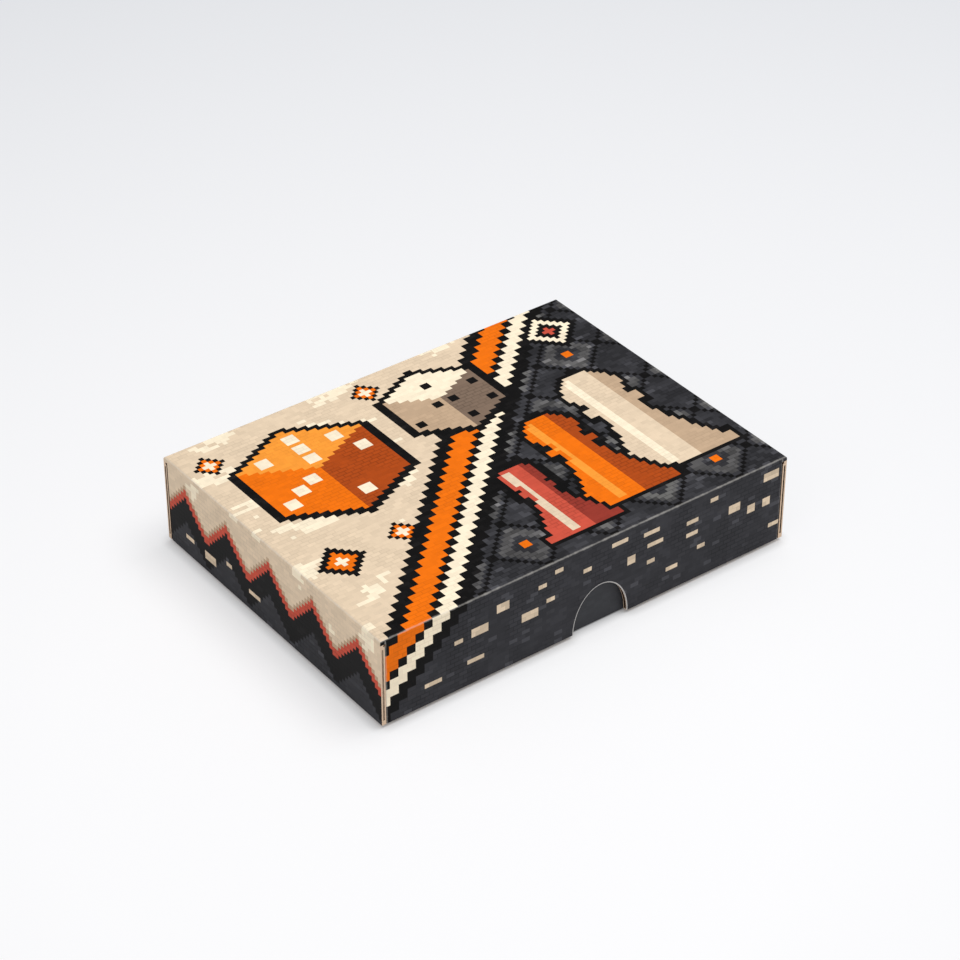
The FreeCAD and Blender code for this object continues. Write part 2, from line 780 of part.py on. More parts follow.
def make_die(label, middle_x, middle_y):
    """A cube with bevelled edges and drilled pips."""
    edge = size("die_size")
    half = f"{edge} / 2"
    cube = doc.addObject("PartDesign::Body", "Cube")
    outline = rectangle(
        f"{middle_x} - {half}", f"{middle_y} - {half}", f"{middle_x} + {half}", f"{middle_y} + {half}"
    )
    pad(cube, polygons(cube, "XY_Plane", TROUGH_FLOOR, [outline]), edge)
    bevel_edges(cube, lambda edge, box: True, size("die_edge"))

    centre = (middle_x, middle_y, f"({TROUGH_FLOOR} + {half})")
    pips = []
    for value, (normal, first, second) in FACES.items():
        for step_one, step_two in PIPS[value]:
            pip = doc.addObject("Part::Cylinder", "Pip")
            pip.setExpression("Radius", size("pip_radius"))
            pip.setExpression("Height", size("pip_depth"))
            inward = FreeCAD.Vector(*[-part for part in normal])
            turn = FreeCAD.Rotation(FreeCAD.Vector(0, 0, 1), inward)
            pip.Placement = FreeCAD.Placement(FreeCAD.Vector(0, 0, 0), turn)
            for axis in range(3):
                steps = step_one * first[axis] + step_two * second[axis]
                place = f"{centre[axis]} + {normal[axis]} * {half} + {steps} * {size('pip_spread')}"
                pip.setExpression(f"Placement.Base.{'xyz'[axis]}", place)
            pips.append(pip)
    holes = doc.addObject("Part::Compound", "Pips")
    holes.Links = pips
    die = doc.addObject("Part::Cut", label)
    die.Base = cube
    die.Tool = holes
    finished.append(die)


def make_tokens(number, middle_x, middle_y):
    """A stack of punched six-sided card chips."""
    chips = []
    for k in range(TOKENS_IN_STACK):
        chip = doc.addObject("Part::Prism", "Token")
        chip.Polygon = CHIP_SIDES
        chip.setExpression("Circumradius", f"{size('token_width')} / 2")
        chip.setExpression("Height", size("token_thickness"))
        chip.setExpression("Placement.Base.x", middle_x)
        chip.setExpression("Placement.Base.y", middle_y)
        chip.setExpression("Placement.Base.z", f"{TROUGH_FLOOR} + {k} * {size('token_thickness')}")
        chips.append(chip)
    stack = doc.addObject("Part::Compound", f"token_stack_{number}")
    stack.Links = chips
    finished.append(stack)


def make_contents():
    """Everything that lies loose in the wells."""
    deck_height = f"({CARDS_IN_DECK} * {size('card_thickness')} + 2 * {size('band_thickness')})"
    make_deck("lower", TROUGH_FLOOR)
    make_deck("upper", f"({TROUGH_FLOOR} + {deck_height})")

    number = 1
    for column in range(CAR_COLUMNS):
        rear = f"({TROUGH_LEFT} + {GAP} + {column} * ({size('car_length')} + {GAP}))"
        middle_x = f"({rear} + {size('car_length')} / 2)"
        for line in range(CAR_ROWS):
            front = f"({CROSS_BACK} + {GAP} + {line} * ({size('car_width')} + {GAP}))"
            make_car(number, middle_x, front)
            number += 1

    die = size("die_size")
    token = size("token_width")
    first_x = f"({SHORT_LEFT} + {DIVIDER} + {GAP} + {die} / 2)"
    second_x = f"({first_x} + {die} + {GAP})"
    dice_y = f"({CROSS_BACK} + {GAP} + {die} / 2)"
    make_die("die_light", first_x, dice_y)
    make_die("die_dark", second_x, dice_y)
    tokens_y = f"({CROSS_BACK} + 2 * {GAP} + {die} + {token} / 2)"
    tokens_x = f"({SHORT_LEFT} + {DIVIDER} + {GAP} + {token} / 2)"
    make_tokens(1, tokens_x, tokens_y)
    make_tokens(2, tokens_x, f"({tokens_y} + {token} + {GAP})")


make_lid()
make_fluting()
make_base()
make_insert()
make_dividers()
make_game_board()
make_rules()
make_contents()
doc.recompute()

for item in doc.Objects:
    if "Invalid" in item.State or "Error" in item.State:
        raise RuntimeError(f"{item.Label} failed: {item.State}")
os.makedirs("parts", exist_ok=True)
for item in finished:
    if item.Shape.isNull() or not item.Shape.isValid():
        raise RuntimeError(f"{item.Label} has no sound shape")
for item in finished:
    item.Shape.exportStep(f"parts/{item.Label}.step")
    print(item.Label, len(item.Shape.Solids), round(item.Shape.Volume, 1))
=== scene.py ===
# %% [markdown]
# # A printed board game box
#
# The box is a lid and a tray, each folded from one piece of thin corrugated board, with a small
# game inside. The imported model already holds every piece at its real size, so this lesson only
# dresses it: it cuts the print's grid into the lid, opens the raw board edges, rounds the small
# pieces that a hand would have rounded, and gives every surface its finish.

# %% Load the frame
import json
import math

import bpy
import numpy as np
from mathutils import Matrix, Vector

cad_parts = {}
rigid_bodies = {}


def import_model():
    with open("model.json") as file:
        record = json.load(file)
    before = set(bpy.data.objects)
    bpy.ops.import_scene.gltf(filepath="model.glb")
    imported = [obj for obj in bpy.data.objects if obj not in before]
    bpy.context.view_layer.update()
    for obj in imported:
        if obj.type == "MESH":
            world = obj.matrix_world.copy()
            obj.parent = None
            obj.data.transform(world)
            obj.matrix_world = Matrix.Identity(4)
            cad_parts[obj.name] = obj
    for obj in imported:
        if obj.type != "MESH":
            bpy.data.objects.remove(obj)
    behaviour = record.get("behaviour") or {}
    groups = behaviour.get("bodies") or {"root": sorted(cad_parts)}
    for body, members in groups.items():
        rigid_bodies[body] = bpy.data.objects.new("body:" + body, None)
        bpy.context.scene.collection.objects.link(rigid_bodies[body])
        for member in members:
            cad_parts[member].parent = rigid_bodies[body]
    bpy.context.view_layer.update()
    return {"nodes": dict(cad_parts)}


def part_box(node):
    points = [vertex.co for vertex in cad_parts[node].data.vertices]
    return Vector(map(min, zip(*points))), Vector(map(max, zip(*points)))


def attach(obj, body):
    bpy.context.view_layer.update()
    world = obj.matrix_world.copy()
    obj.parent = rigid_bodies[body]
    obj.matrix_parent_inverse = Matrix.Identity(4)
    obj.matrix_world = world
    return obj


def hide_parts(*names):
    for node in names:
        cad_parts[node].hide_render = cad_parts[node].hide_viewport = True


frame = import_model()
MM = 0.001

print("CAD nodes:", len(frame["nodes"]))

# %% [markdown]
# ## Measures
#
# Everything is placed from the CAD nodes' own boxes. Only what a box can't tell is written here:
# the board's thickness, its paper liners, the thumb notch and the size of the print's square cells.

# %% Measures
LID_LOW, LID_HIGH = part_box("lid_board")
BASE_LOW, BASE_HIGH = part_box("base_board")
BOARD = 2.0 * MM
LINER = 0.65 * MM
CORE_DEPTH = 1.2 * MM
EDGE_MARGIN = 2.2 * MM
CELL = 2.0 * MM
NOTCH_MIDDLE = 5.0 * MM
NOTCH_HALF = 13.4 * MM
NOTCH_RISE = 18.8 * MM
CLOSE = 0.02 * MM

LID_SIZE = LID_HIGH - LID_LOW
UNDERSIDE = LID_HIGH.z - BOARD
SIDE = LID_HIGH.x
REAR = LID_HIGH.y
print("lid in mm:", [round(value / MM, 1) for value in LID_SIZE])

# %% [markdown]
# ## Selecting by place
#
# Most operators work on what is selected. By hand that is a click. In a script it is a test on
# each face's middle and normal, which keeps working when the mesh changes. Everything is deselected
# first, because the loaded CAD nodes start out selected. Cuts go through all that shows, so the
# faces that stay whole are hidden meanwhile.

# %% Selection helpers
FACES = (False, False, True)
EDGES = (False, True, False)
POINTS = (True, False, False)


def only(piece):
    """Make one object the only selected one, and the active one."""
    bpy.ops.object.select_all(action="DESELECT")
    piece.select_set(True)
    bpy.context.view_layer.objects.active = piece


def nothing_picked(piece, mode):
    """Clear the selection inside a mesh and choose what later picks go by."""
    only(piece)
    bpy.context.tool_settings.mesh_select_mode = mode
    mesh = piece.data
    for items in (mesh.vertices, mesh.edges, mesh.polygons):
        items.foreach_set("select", [False] * len(items))


def pick(piece, chosen):
    """Select the faces whose middle and normal pass the test, and go to edit mode."""
    nothing_picked(piece, FACES)
    for face in piece.data.polygons:
        face.select = bool(chosen(face.center, face.normal))
    bpy.ops.object.mode_set(mode="EDIT")


def pick_edges(piece, chosen):
    """Select the edges whose two ends pass the test, and go to edit mode."""
    nothing_picked(piece, EDGES)
    points = piece.data.vertices
    for edge in piece.data.edges:
        first, second = (points[k].co for k in edge.vertices)
        edge.select = bool(chosen(first, second))
    bpy.ops.object.mode_set(mode="EDIT")


def pick_points(piece, chosen):
    """Select the points that pass the test, and go to edit mode."""
    nothing_picked(piece, POINTS)
    for point in piece.data.vertices:
        point.select = bool(chosen(point.co))
    bpy.ops.object.mode_set(mode="EDIT")


def done():
    """Leave edit mode."""
    bpy.ops.object.mode_set(mode="OBJECT")


def cut_faces(piece, chosen, lines):
    """Cut the faces that pass the test along planes, each a point on it and its normal."""
    only(piece)
    for face in piece.data.polygons:
        face.hide = not chosen(face.center, face.normal)
    bpy.ops.object.mode_set(mode="EDIT")
    for point, normal in lines:
        bpy.ops.mesh.select_all(action="SELECT")
        bpy.ops.mesh.bisect(plane_co=point, plane_no=normal)
    bpy.ops.mesh.reveal(select=False)
    done()


bpy.ops.object.select_all(action="DESELECT")
print("selected now:", len(bpy.context.selected_objects))

# %% [markdown]
# ## Pieces
#
# A finished piece keeps its object at the origin, with its place in the mesh, so that patterns and
# poses agree with the CAD. These helpers apply modifiers and moves for good, copy and join pieces,
# and hand a finished piece over to the body that it rides on.

# %% Piece helpers
ROUND = math.radians(28)


def apply(piece, kind, **settings):
    """Add a modifier, set it up and apply it."""
    only(piece)
    modifier = piece.modifiers.new(kind.title(), kind)
    for setting, value in settings.items():
        setattr(modifier, setting, value)
    bpy.ops.object.modifier_apply(modifier=modifier.name)


def settle(piece, matrix):
    """Move and turn a piece, and keep its place in its mesh."""
    piece.matrix_world = matrix
    only(piece)
    bpy.ops.object.transform_apply(location=True, rotation=True, scale=True)


def copy_of(piece, name):
    """A copy with a mesh of its own."""
    copy = piece.copy()
    copy.data = piece.data.copy()
    copy.name = name
    bpy.context.scene.collection.objects.link(copy)
    return copy


def joined(pieces, name):
    """Several pieces as one."""
    only(pieces[0])
    for piece in pieces:
        piece.select_set(True)
    bpy.ops.object.join()
    pieces[0].name = name
    return pieces[0]


def smoothed(piece):
    """Smooth shading, with the flat faces kept flat."""
    only(piece)
    bpy.ops.object.shade_smooth_by_angle(angle=ROUND)
    apply(piece, "WEIGHTED_NORMAL", keep_sharp=True)


def stand_for(piece, body, slot, *nodes):
    """Let a finished piece ride on its body, in place of the CAD nodes that it stands for."""
    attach(piece, body)
    if nodes:
        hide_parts(*nodes)
    print(piece.name, "has", len(piece.data.polygons), "faces")


def dress(material, *nodes):
    """Give CAD nodes that stay as they are their finish."""
    for node in nodes:
        mesh = frame["nodes"][node].data
        mesh.materials.clear()
        mesh.materials.append(material)
    print(material.name, "on", ", ".join(nodes))


# %% [markdown]
# Where the CAD shape is right but needs finer work, the piece starts as a copy of the node. The
# node itself is loose triangles and is never touched. The copy's points are merged, and triangles
# that lie in one plane become one face, so insets, bevels and cuts run cleanly.

# %% Copy of a CAD node
MERGE = 0.001 * MM
FLAT = math.radians(0.5)


def whole_copy(node, name):
    """A copy of a CAD node's mesh with its triangles merged into whole faces."""
    mesh = frame["nodes"][node].data.copy()
    mesh.materials.clear()
    piece = bpy.data.objects.new(name, mesh)
    bpy.context.scene.collection.objects.link(piece)
    only(piece)
    bpy.ops.mesh.customdata_custom_splitnormals_clear()
    bpy.ops.object.mode_set(mode="EDIT")
    bpy.ops.mesh.select_all(action="SELECT")
    bpy.ops.mesh.remove_doubles(threshold=MERGE)
    bpy.ops.mesh.dissolve_limited(angle_limit=FLAT)
    done()
    return piece


def soft_copy(node, name, width):
    """A copy of a CAD node with its sharp edges rounded."""
    piece = whole_copy(node, name)
    apply(piece, "BEVEL", width=width, segments=3, limit_method="ANGLE", angle_limit=ROUND)
    smoothed(piece)
    return piece


print("copies merge points within", MERGE / MM, "mm")

# %% [markdown]
# ## Sums in the shader
#
# A pattern is arithmetic on a place. One small class wraps a node's output, so that the arithmetic
# can be written as Python and each operator adds its Math node. A second class holds a material
# while it is put together, and has the one method that adds any other node.

# %% Shader sockets
class Socket:
    """A node's output that Python can do sums with."""

    def __init__(self, finish, output):
        self.finish = finish
        self.output = output

    def maths(self, operation, first, second=0.0):
        return self.finish.node("Math", {"operation": operation}, {0: first, 1: second})

    def __add__(self, other):
        return self.maths("ADD", self, other)

    def __sub__(self, other):
        return self.maths("SUBTRACT", self, other)

    def __rsub__(self, other):
        return self.maths("SUBTRACT", other, self)

    def __mul__(self, other):
        return self.maths("MULTIPLY", self, other)

    def __truediv__(self, other):
        return self.maths("DIVIDE", self, other)

    def __lt__(self, other):
        return self.maths("LESS_THAN", self, other)

    def __gt__(self, other):
        return self.maths("GREATER_THAN", self, other)

    def __abs__(self):
        return self.maths("ABSOLUTE", self)

    def __mod__(self, other):
        return self.maths("FLOORED_MODULO", self, other)

    def least(self, other):
        return self.maths("MINIMUM", self, other)

    def most(self, other):
        return self.maths("MAXIMUM", self, other)

    def floor(self):
        return self.maths("FLOOR", self)

    def fade(self, start, end):
        """0 before start, 1 after end, and smooth between them."""
        limits = {"From Min": start, "From Max": end}
        settings = {"interpolation_type": "SMOOTHSTEP", "clamp": True}
        return self.finish.node("MapRange", settings, {"Value": self, **limits})

    def line(self, middle, width):
        """1 within half the width of a value, and 0 elsewhere."""
        return abs(self - middle) < width / 2

    __radd__ = __add__
    __rmul__ = __mul__


print("shader sums: + - * / < > abs % least most floor fade line")


# %% Materials under construction
def linear(red, green, blue):
    """A colour given as it looks on a screen, 0 to 255, as the light values that shaders use."""
    shares = [value / 255 for value in (red, green, blue)]
    return tuple(s / 12.92 if s <= 0.04045 else ((s + 0.055) / 1.055) ** 2.4 for s in shares)


class Finish:
    """A material while its nodes are put together."""

    def __init__(self, name):
        self.material = bpy.data.materials.new(name)
        self.material.use_nodes = True
        self.tree = self.material.node_tree
        self.shader = self.tree.nodes["Principled BSDF"]
        self.coordinates = None

    def node(self, kind, settings, inputs, output=0):
        """Add any node: its settings first, then the values or links of its sockets."""
        added = self.tree.nodes.new(f"ShaderNode{kind}")
        for setting, value in settings.items():
            setattr(added, setting, value)
        for key, value in inputs.items():
            self.fill(added.inputs[key], value)
        return Socket(self, added.outputs[output])

    def fill(self, socket, value):
        """Link a socket, or set its own value where the value is the same all over."""
        if isinstance(value, Socket):
            self.tree.links.new(value.output, socket)
        elif isinstance(value, tuple) and socket.type == "RGBA":
            socket.default_value = (*value[:3], 1.0)
        else:
            socket.default_value = value

    def set(self, **inputs):
        """Fill the surface shader's sockets, with _ for each space in their names."""
        for name, value in inputs.items():
            self.fill(self.shader.inputs[name.replace("_", " ")], value)

    def place(self):
        """The Object coordinates, in metres."""
        if self.coordinates is None:
            self.coordinates = self.node("TexCoord", {}, {}, "Object")
        return self.coordinates

    def xyz(self, middle=(0, 0, 0)):
        """The three Object coordinates in millimetres, measured from a middle in metres."""
        parts = [self.node("SeparateXYZ", {}, {0: self.place()}, axis) for axis in range(3)]
        return [(part - start) / MM for part, start in zip(parts, middle)]

    def facing(self, axis):
        """How far the surface faces along one axis, from -1 to 1."""
        normal = self.node("NewGeometry", {}, {}, "Normal")
        return self.node("SeparateXYZ", {}, {0: normal}, axis)

    def noise(self, grain, stretch=(1, 1, 1), detail=2.0):
        """Soft noise from 0 to 1. Its grain is in millimetres, longer along the stretched axes."""
        scale = tuple(1 / (grain * MM * axis) for axis in stretch)
        spread = self.node("Mapping", {}, {"Vector": self.place(), "Scale": scale})
        return self.node("TexNoise", {}, {"Vector": spread, "Scale": 1.0, "Detail": detail})

    def blocks(self, steps):
        """One random number for each block of the given size in millimetres."""
        scale = tuple(1 / (step * MM) for step in steps)
        spread = self.node("Mapping", {}, {"Vector": self.place(), "Scale": scale})
        snapped = self.node("VectorMath", {"operation": "FLOOR"}, {0: spread})
        return self.node("TexWhiteNoise", {}, {"Vector": snapped})

    def mix(self, share, first, second, blend="MIX"):
        """Two colours, from the first at share 0 to the second at share 1."""
        settings = {"data_type": "RGBA", "blend_type": blend}
        return self.node("Mix", settings, {0: share, 6: first, 7: second}, 2)

    def shade(self, colour, amount):
        """A colour made lighter or darker by a number about 1."""
        grey = self.node("CombineColor", {}, {0: amount, 1: amount, 2: amount})
        return self.mix(1.0, colour, grey, "MULTIPLY")

    def bump(self, height, depth):
        """A bumped normal: height from 0 to 1, depth in millimetres."""
        return self.node("Bump", {}, {"Height": height, "Distance": depth * MM, "Strength": 1.0})


print("white paper as light:", [round(value, 3) for value in linear(250, 248, 242)])

# %% [markdown]
# ## Camera, floor and light
#
# The camera stands in front and to the left, well back with a long lens, so the box's edges stay
# nearly parallel. It looks a little above the middle of the underside. The floor is plain and pale.
# Large soft lamps and an even sky light the box at a level where colours come out as written.

# %% Camera
AZIMUTH = math.radians(-36.81)
ELEVATION = math.radians(36.37)
DISTANCE = 1.2245
LENS = 112.36
AIM_UP = 24.35 * MM
AIM_RIGHT = 1.92 * MM

back = Vector(
    (
        math.sin(AZIMUTH) * math.cos(ELEVATION),
        -math.cos(AZIMUTH) * math.cos(ELEVATION),
        math.sin(ELEVATION),
    )
)
across = Vector((math.cos(AZIMUTH), math.sin(AZIMUTH), 0.0))
upward = back.cross(across)
bpy.ops.object.camera_add(location=back * DISTANCE)
camera = bpy.context.object
camera.data.lens = LENS
target = across * AIM_RIGHT + upward * AIM_UP
camera.rotation_euler = (target - camera.location).to_track_quat("-Z", "Y").to_euler()
bpy.context.scene.camera = camera
print("camera at", [round(value, 3) for value in camera.location])

# %% [markdown]
# The floor is a sheet of white paper. Where the camera or a reflection sees it, a share of it is
# plain white that greys with the distance from the front of the box, as paper does away from a
# lamp. That keeps the floor pale and the shadow soft without more light on the box. Where something
# stands close over the floor, Ambient Occlusion takes the white away again, so the box still has a
# dark line where it meets the floor.

# %% Floor
FLOOR_SIZE = 8.0
FLOOR_GAP = 0.05 * MM
WHITE_SHARE = 0.57
BRIGHTEST = Vector((-0.1, -0.1, 0.0))
BRIGHT_REACH = (0.14, 0.7)
CONTACT_REACH = 5.0 * MM
NEAR_WHITE = linear(254, 254, 255)
FAR_GREY = linear(212, 215, 220)

bpy.ops.mesh.primitive_plane_add(size=FLOOR_SIZE, location=(0, 0, -FLOOR_GAP))
floor = bpy.context.object
floor.name = "floor"
paper = Finish("floor_paper")
paper.set(Base_Color=linear(249, 249, 250), Roughness=0.9, Specular_IOR_Level=0.1)
seen = paper.node("LightPath", {}, {}, "Is Camera Ray")
for ray in ("Is Glossy Ray", "Is Transmission Ray"):
    seen = seen.most(paper.node("LightPath", {}, {}, ray))
away = paper.node("VectorMath", {"operation": "DISTANCE"}, {0: paper.place(), 1: BRIGHTEST}, "Value")
limits = {"From Min": BRIGHT_REACH[0], "From Max": BRIGHT_REACH[1]}
greyed = paper.node("MapRange", {"clamp": True}, {"Value": away, **limits})
tint = paper.mix(greyed, NEAR_WHITE, FAR_GREY)
open_sky = paper.node("AmbientOcclusion", {}, {"Distance": CONTACT_REACH}, "AO")
white = paper.node("Emission", {}, {"Color": paper.shade(tint, open_sky), "Strength": 1.0})
lit = Socket(paper, paper.shader.outputs["BSDF"])
surface = paper.node("MixShader", {}, {0: seen * WHITE_SHARE, 1: lit, 2: white})
paper.fill(paper.tree.nodes["Material Output"].inputs["Surface"], surface)
floor.data.materials.append(paper.material)
print("floor of", FLOOR_SIZE, "m")

# %% Sky and lamps
SKY = 0.42
# each lamp's place and size in metres, and its power in watts
LAMPS = {
    "key": ((0.55, -0.28, 2.0), 1.4, 30.5),
    "fill": ((-1.5, -0.6, 0.7), 1.2, 2.8),
}

world = bpy.data.worlds.new("studio")
world.use_nodes = True
sky = world.node_tree.nodes["Background"]
sky.inputs["Color"].default_value = (*linear(252, 252, 255), 1.0)
sky.inputs["Strength"].default_value = SKY
bpy.context.scene.world = world
bpy.context.scene.view_settings.view_transform = "Standard"


def soft_lamp(name, place, size, power):
    """A square lamp that looks at the box."""
    bpy.ops.object.light_add(type="AREA", location=place)
    lamp = bpy.context.object
    lamp.name = name
    lamp.data.size = size
    lamp.data.energy = power
    lamp.rotation_euler = (-Vector(place)).to_track_quat("-Z", "Y").to_euler()


for lamp_name, (place, size, power) in LAMPS.items():
    soft_lamp(lamp_name, place, size, power)
print("sky", SKY, "and", len(LAMPS), "soft lamps")

# %% [markdown]
# ## The print
#
# The lid is wrapped in one printed sheet, drawn in square cells of two millimetres like a mosaic.
# The drawing is made flat, as it is on the unfolded sheet: the top in the middle and the four walls
# folded out around it. Each motif is a formula that says which cells it covers, so the picture is
# sharp at any size. The motifs are a game's own: dice, pawns, stepped ribbons and lozenges.

# %% The flat sheet
COLUMNS = round(LID_SIZE.x / CELL)
ROWS = round(LID_SIZE.y / CELL)
DROP = round(LID_SIZE.z / CELL)
SEED = 7

INKS = {
    "sand": linear(230, 208, 179),
    "cream": linear(254, 239, 210),
    "clay": linear(196, 168, 138),
    "umber": linear(128, 108, 92),
    "ink": linear(12, 11, 11),
    "slate": linear(47, 47, 50),
    "smoke": linear(76, 75, 75),
    "stone": linear(108, 107, 105),
    "orange": linear(243, 116, 8),
    "amber": linear(252, 158, 56),
    "rust": linear(176, 74, 20),
    "coral": linear(205, 84, 64),
    "brick": linear(150, 56, 44),
}
rng = np.random.default_rng(SEED)
column, row = np.meshgrid(
    np.arange(-DROP, COLUMNS + DROP) + 0.5, np.arange(-DROP, ROWS + DROP) + 0.5, indexing="ij"
)
sheet = np.empty(column.shape + (3,))
down = np.maximum.reduce([-column, column - COLUMNS, -row, row - ROWS])
side_wall = (column < 0) | (column > COLUMNS)
along = np.where(side_wall, row, column)


def lay(cells, ink):
    """Print the chosen cells in one ink."""
    sheet[cells] = INKS[ink]


print("sheet of", COLUMNS, "by", ROWS, "cells, walls of", DROP)

# %% [markdown]
# The cells are grouped in three ways, with one random number for each group. A run is one to a few
# cells in a line. A brick is two cells, shifted by one in every other row, as in a wall. A patch is
# a larger block. Runs and bricks lie along the walls. The generator is seeded, so the sheet comes out
# the same each time.

# %% Runs, bricks and patches of cells
RUN_BREAK = 0.45
PATCH = (5, 4)


def runs_along(axis, share):
    """One random number for each run of cells along one axis of the sheet."""
    length, lanes = column.shape[axis], column.shape[1 - axis]
    breaks = rng.random((lanes, length)) < share
    numbers = np.cumsum(breaks, axis=1) + (length + 1) * np.arange(lanes)[:, None]
    cells = rng.random(numbers.max() + 1)[numbers]
    return cells if axis == 1 else cells.T


def runs_of(share):
    """Runs that lie along X, and along Y on the side walls."""
    return np.where(side_wall, runs_along(1, share), runs_along(0, share))


def bricks_of():
    """One random number for each brick: two cells of a row, shifted by a cell in every other row."""
    lane = np.floor(np.where(down < 0, row, down))
    brick = np.floor((along + lane % 2) / 2)
    wall = np.select([row < 0, column < 0, row > ROWS, column > COLUMNS], [1, 2, 3, 4], 0)
    keys = np.stack([wall.ravel(), lane.ravel(), brick.ravel()])
    kinds, numbers = np.unique(keys, axis=1, return_inverse=True)
    return rng.random(kinds.shape[1])[numbers.reshape(column.shape)]


def patches_of(size):
    """One random number for each block of cells of the given size."""
    blocks = [np.floor(cells / step).astype(int) for cells, step in zip((column, row), size)]
    across_sheet, up_sheet = (block - block.min() for block in blocks)
    return rng.random((across_sheet.max() + 1, up_sheet.max() + 1))[across_sheet, up_sheet]


runs = runs_of(RUN_BREAK)
print("runs of cells:", len(np.unique(runs)))

# %% [markdown]
# The sheet is light on one side and dark on the other. A stepped ribbon runs between them from
# corner to corner, over the folds and down the walls. A stepped zigzag closes the light side at the
# rim, as a woven border would, and faint lozenges fill the dark side.

# %% Two fields and the ribbon
STEP = 2
RIBBON_START = 2
RIBBON = (("ink", 2), ("orange", 3), ("ink", 1), ("cream", 2), ("ink", 2))

stairs = np.floor((column - RIBBON_START) / STEP) - np.floor(row / STEP)
lay(stairs < 0, "sand")
lay(stairs >= 0, "slate")
reached = 0
for ink, steps in RIBBON:
    lay((stairs >= reached) & (stairs < reached + steps), ink)
    reached += steps
light = stairs < 0
dark = stairs >= reached
print("light cells:", int(light.sum()), "dark cells:", int(dark.sum()))

# %% Pale drifts and the zigzag
DRIFT_WAVES = {"column": 0.23, "row bend": 0.31, "row": 0.52, "column bend": 0.19}
DRIFT_BEND = 1.4
DRIFT_RAGGED = 1.6
DRIFT_LEVEL = 1.25
DRIFT_CLEAR = 2
TOOTH = 15
TEETH_DROP = 3
TEETH = ((0, "clay"), (1, "coral"), (3, "ink"), (9, "slate"))

drift = np.sin(column * DRIFT_WAVES["column"] + DRIFT_BEND * np.sin(row * DRIFT_WAVES["row bend"]))
drift += np.sin(row * DRIFT_WAVES["row"] + np.sin(column * DRIFT_WAVES["column bend"]))
pale_drift = drift + DRIFT_RAGGED * (runs - 0.5) > DRIFT_LEVEL
lay((stairs < -DRIFT_CLEAR) & pale_drift, "cream")

teeth = np.floor(np.abs(along % TOOTH - TOOTH / 2)) + TEETH_DROP
for reach, ink in TEETH:
    lay(light & (down > teeth + reach), ink)
print("zigzag of", len(TEETH), "inks, a tooth every", TOOTH, "cells")

# %% Faint lozenges on the dark side
LATTICE = 16
STONE_CHANCE = 0.45
DOT = 1.5

lozenge = np.abs(column % LATTICE - LATTICE / 2) + np.abs(row % LATTICE - LATTICE / 2)
top_dark = dark & (down < 0)
chance = patches_of((LATTICE, LATTICE))
lay(top_dark & (lozenge < LATTICE / 2 - 1), "smoke")
lay(top_dark & (lozenge < LATTICE / 2 - 2) & (chance > STONE_CHANCE), "stone")
lay(top_dark & (lozenge < LATTICE / 4), "slate")
lay(top_dark & (np.abs(lozenge - LATTICE / 2) < 1), "ink")
lay(top_dark & (lozenge < DOT), "orange")
print("a lozenge every", LATTICE, "cells")

# %% [markdown]
# A die is drawn as three slanted faces. On each face, a cell's place is turned into the face's own
# two coordinates, from -1 to 1. The pips sit at the same places as on a real die, and each is a
# square block of whole cells, so all of them look alike.

# %% Dice on the sheet
PIPS = {
    1: [(0, 0)],
    2: [(-1, -1), (1, 1)],
    3: [(-1, -1), (0, 0), (1, 1)],
    4: [(-1, -1), (-1, 1), (1, -1), (1, 1)],
    5: [(-1, -1), (-1, 1), (0, 0), (1, -1), (1, 1)],
    6: [(-1, -1), (-1, 0), (-1, 1), (1, -1), (1, 0), (1, 1)],
}
PIP_SPREAD = 0.56
PIP_SHARE = 0.2
WALL_SHARE = 1.12
OUTLINE = 1.8
# each die's middle column, lowest row and half width, the inks of its top, left and right, its
# numbers and the ink of its pips
SHEET_DICE = (
    (23, 36, 15, ("amber", "orange", "rust"), (5, 3, 2), "cream"),
    (57, 46, 11, ("cream", "clay", "umber"), (1, 2, 4), "ink"),
)


def draw_die(middle, low, half, inks, values, pip_ink):
    """A die seen from a corner: its top, left and right faces, each in its own ink."""
    rise = half / 2
    side = half * WALL_SHARE
    across_die = (column - middle) / half
    slope = rise * np.abs(across_die)
    above = (row - low - side - rise) / rise
    height = 2 * (row - low - slope) / side - 1
    top = (across_die + above, above - across_die)
    left = (2 * across_die + 1, height)
    right = (2 * across_die - 1, height)
    body = np.abs(across_die) < 1 + OUTLINE / half
    body &= (row > low + slope - OUTLINE) & (row < low + side + 2 * rise - slope + OUTLINE)
    lay(body, "ink")
    for (first, second), ink in zip((top, left, right), inks):
        lay((np.abs(first) < 1) & (np.abs(second) < 1), ink)

    def place_on_top(first, second):
        return middle + half * (first - second) / 2, low + side + rise * (1 + (first + second) / 2)

    def place_on_left(first, second):
        return middle + half * (first - 1) / 2, low + rise * (1 - first) / 2 + side * (second + 1) / 2

    def place_on_right(first, second):
        return middle + half * (first + 1) / 2, low + rise * (1 + first) / 2 + side * (second + 1) / 2

    cells = round(half * PIP_SHARE)
    for place, value in zip((place_on_top, place_on_left, place_on_right), values):
        for first, second in PIPS[value]:
            spots = place(first * PIP_SPREAD, second * PIP_SPREAD)
            start_x, start_y = (round(spot - cells / 2) for spot in spots)
            block = (column > start_x) & (column < start_x + cells)
            lay(block & (row > start_y) & (row < start_y + cells), pip_ink)


for drawing in SHEET_DICE:
    draw_die(*drawing)
print(len(SHEET_DICE), "dice drawn")

# %% [markdown]
# A pawn is a round head on a thin collar, a body that sweeps out and a stepped foot. Its outline is
# the same shape drawn a little larger in black, and a light and a dark stripe make it round.

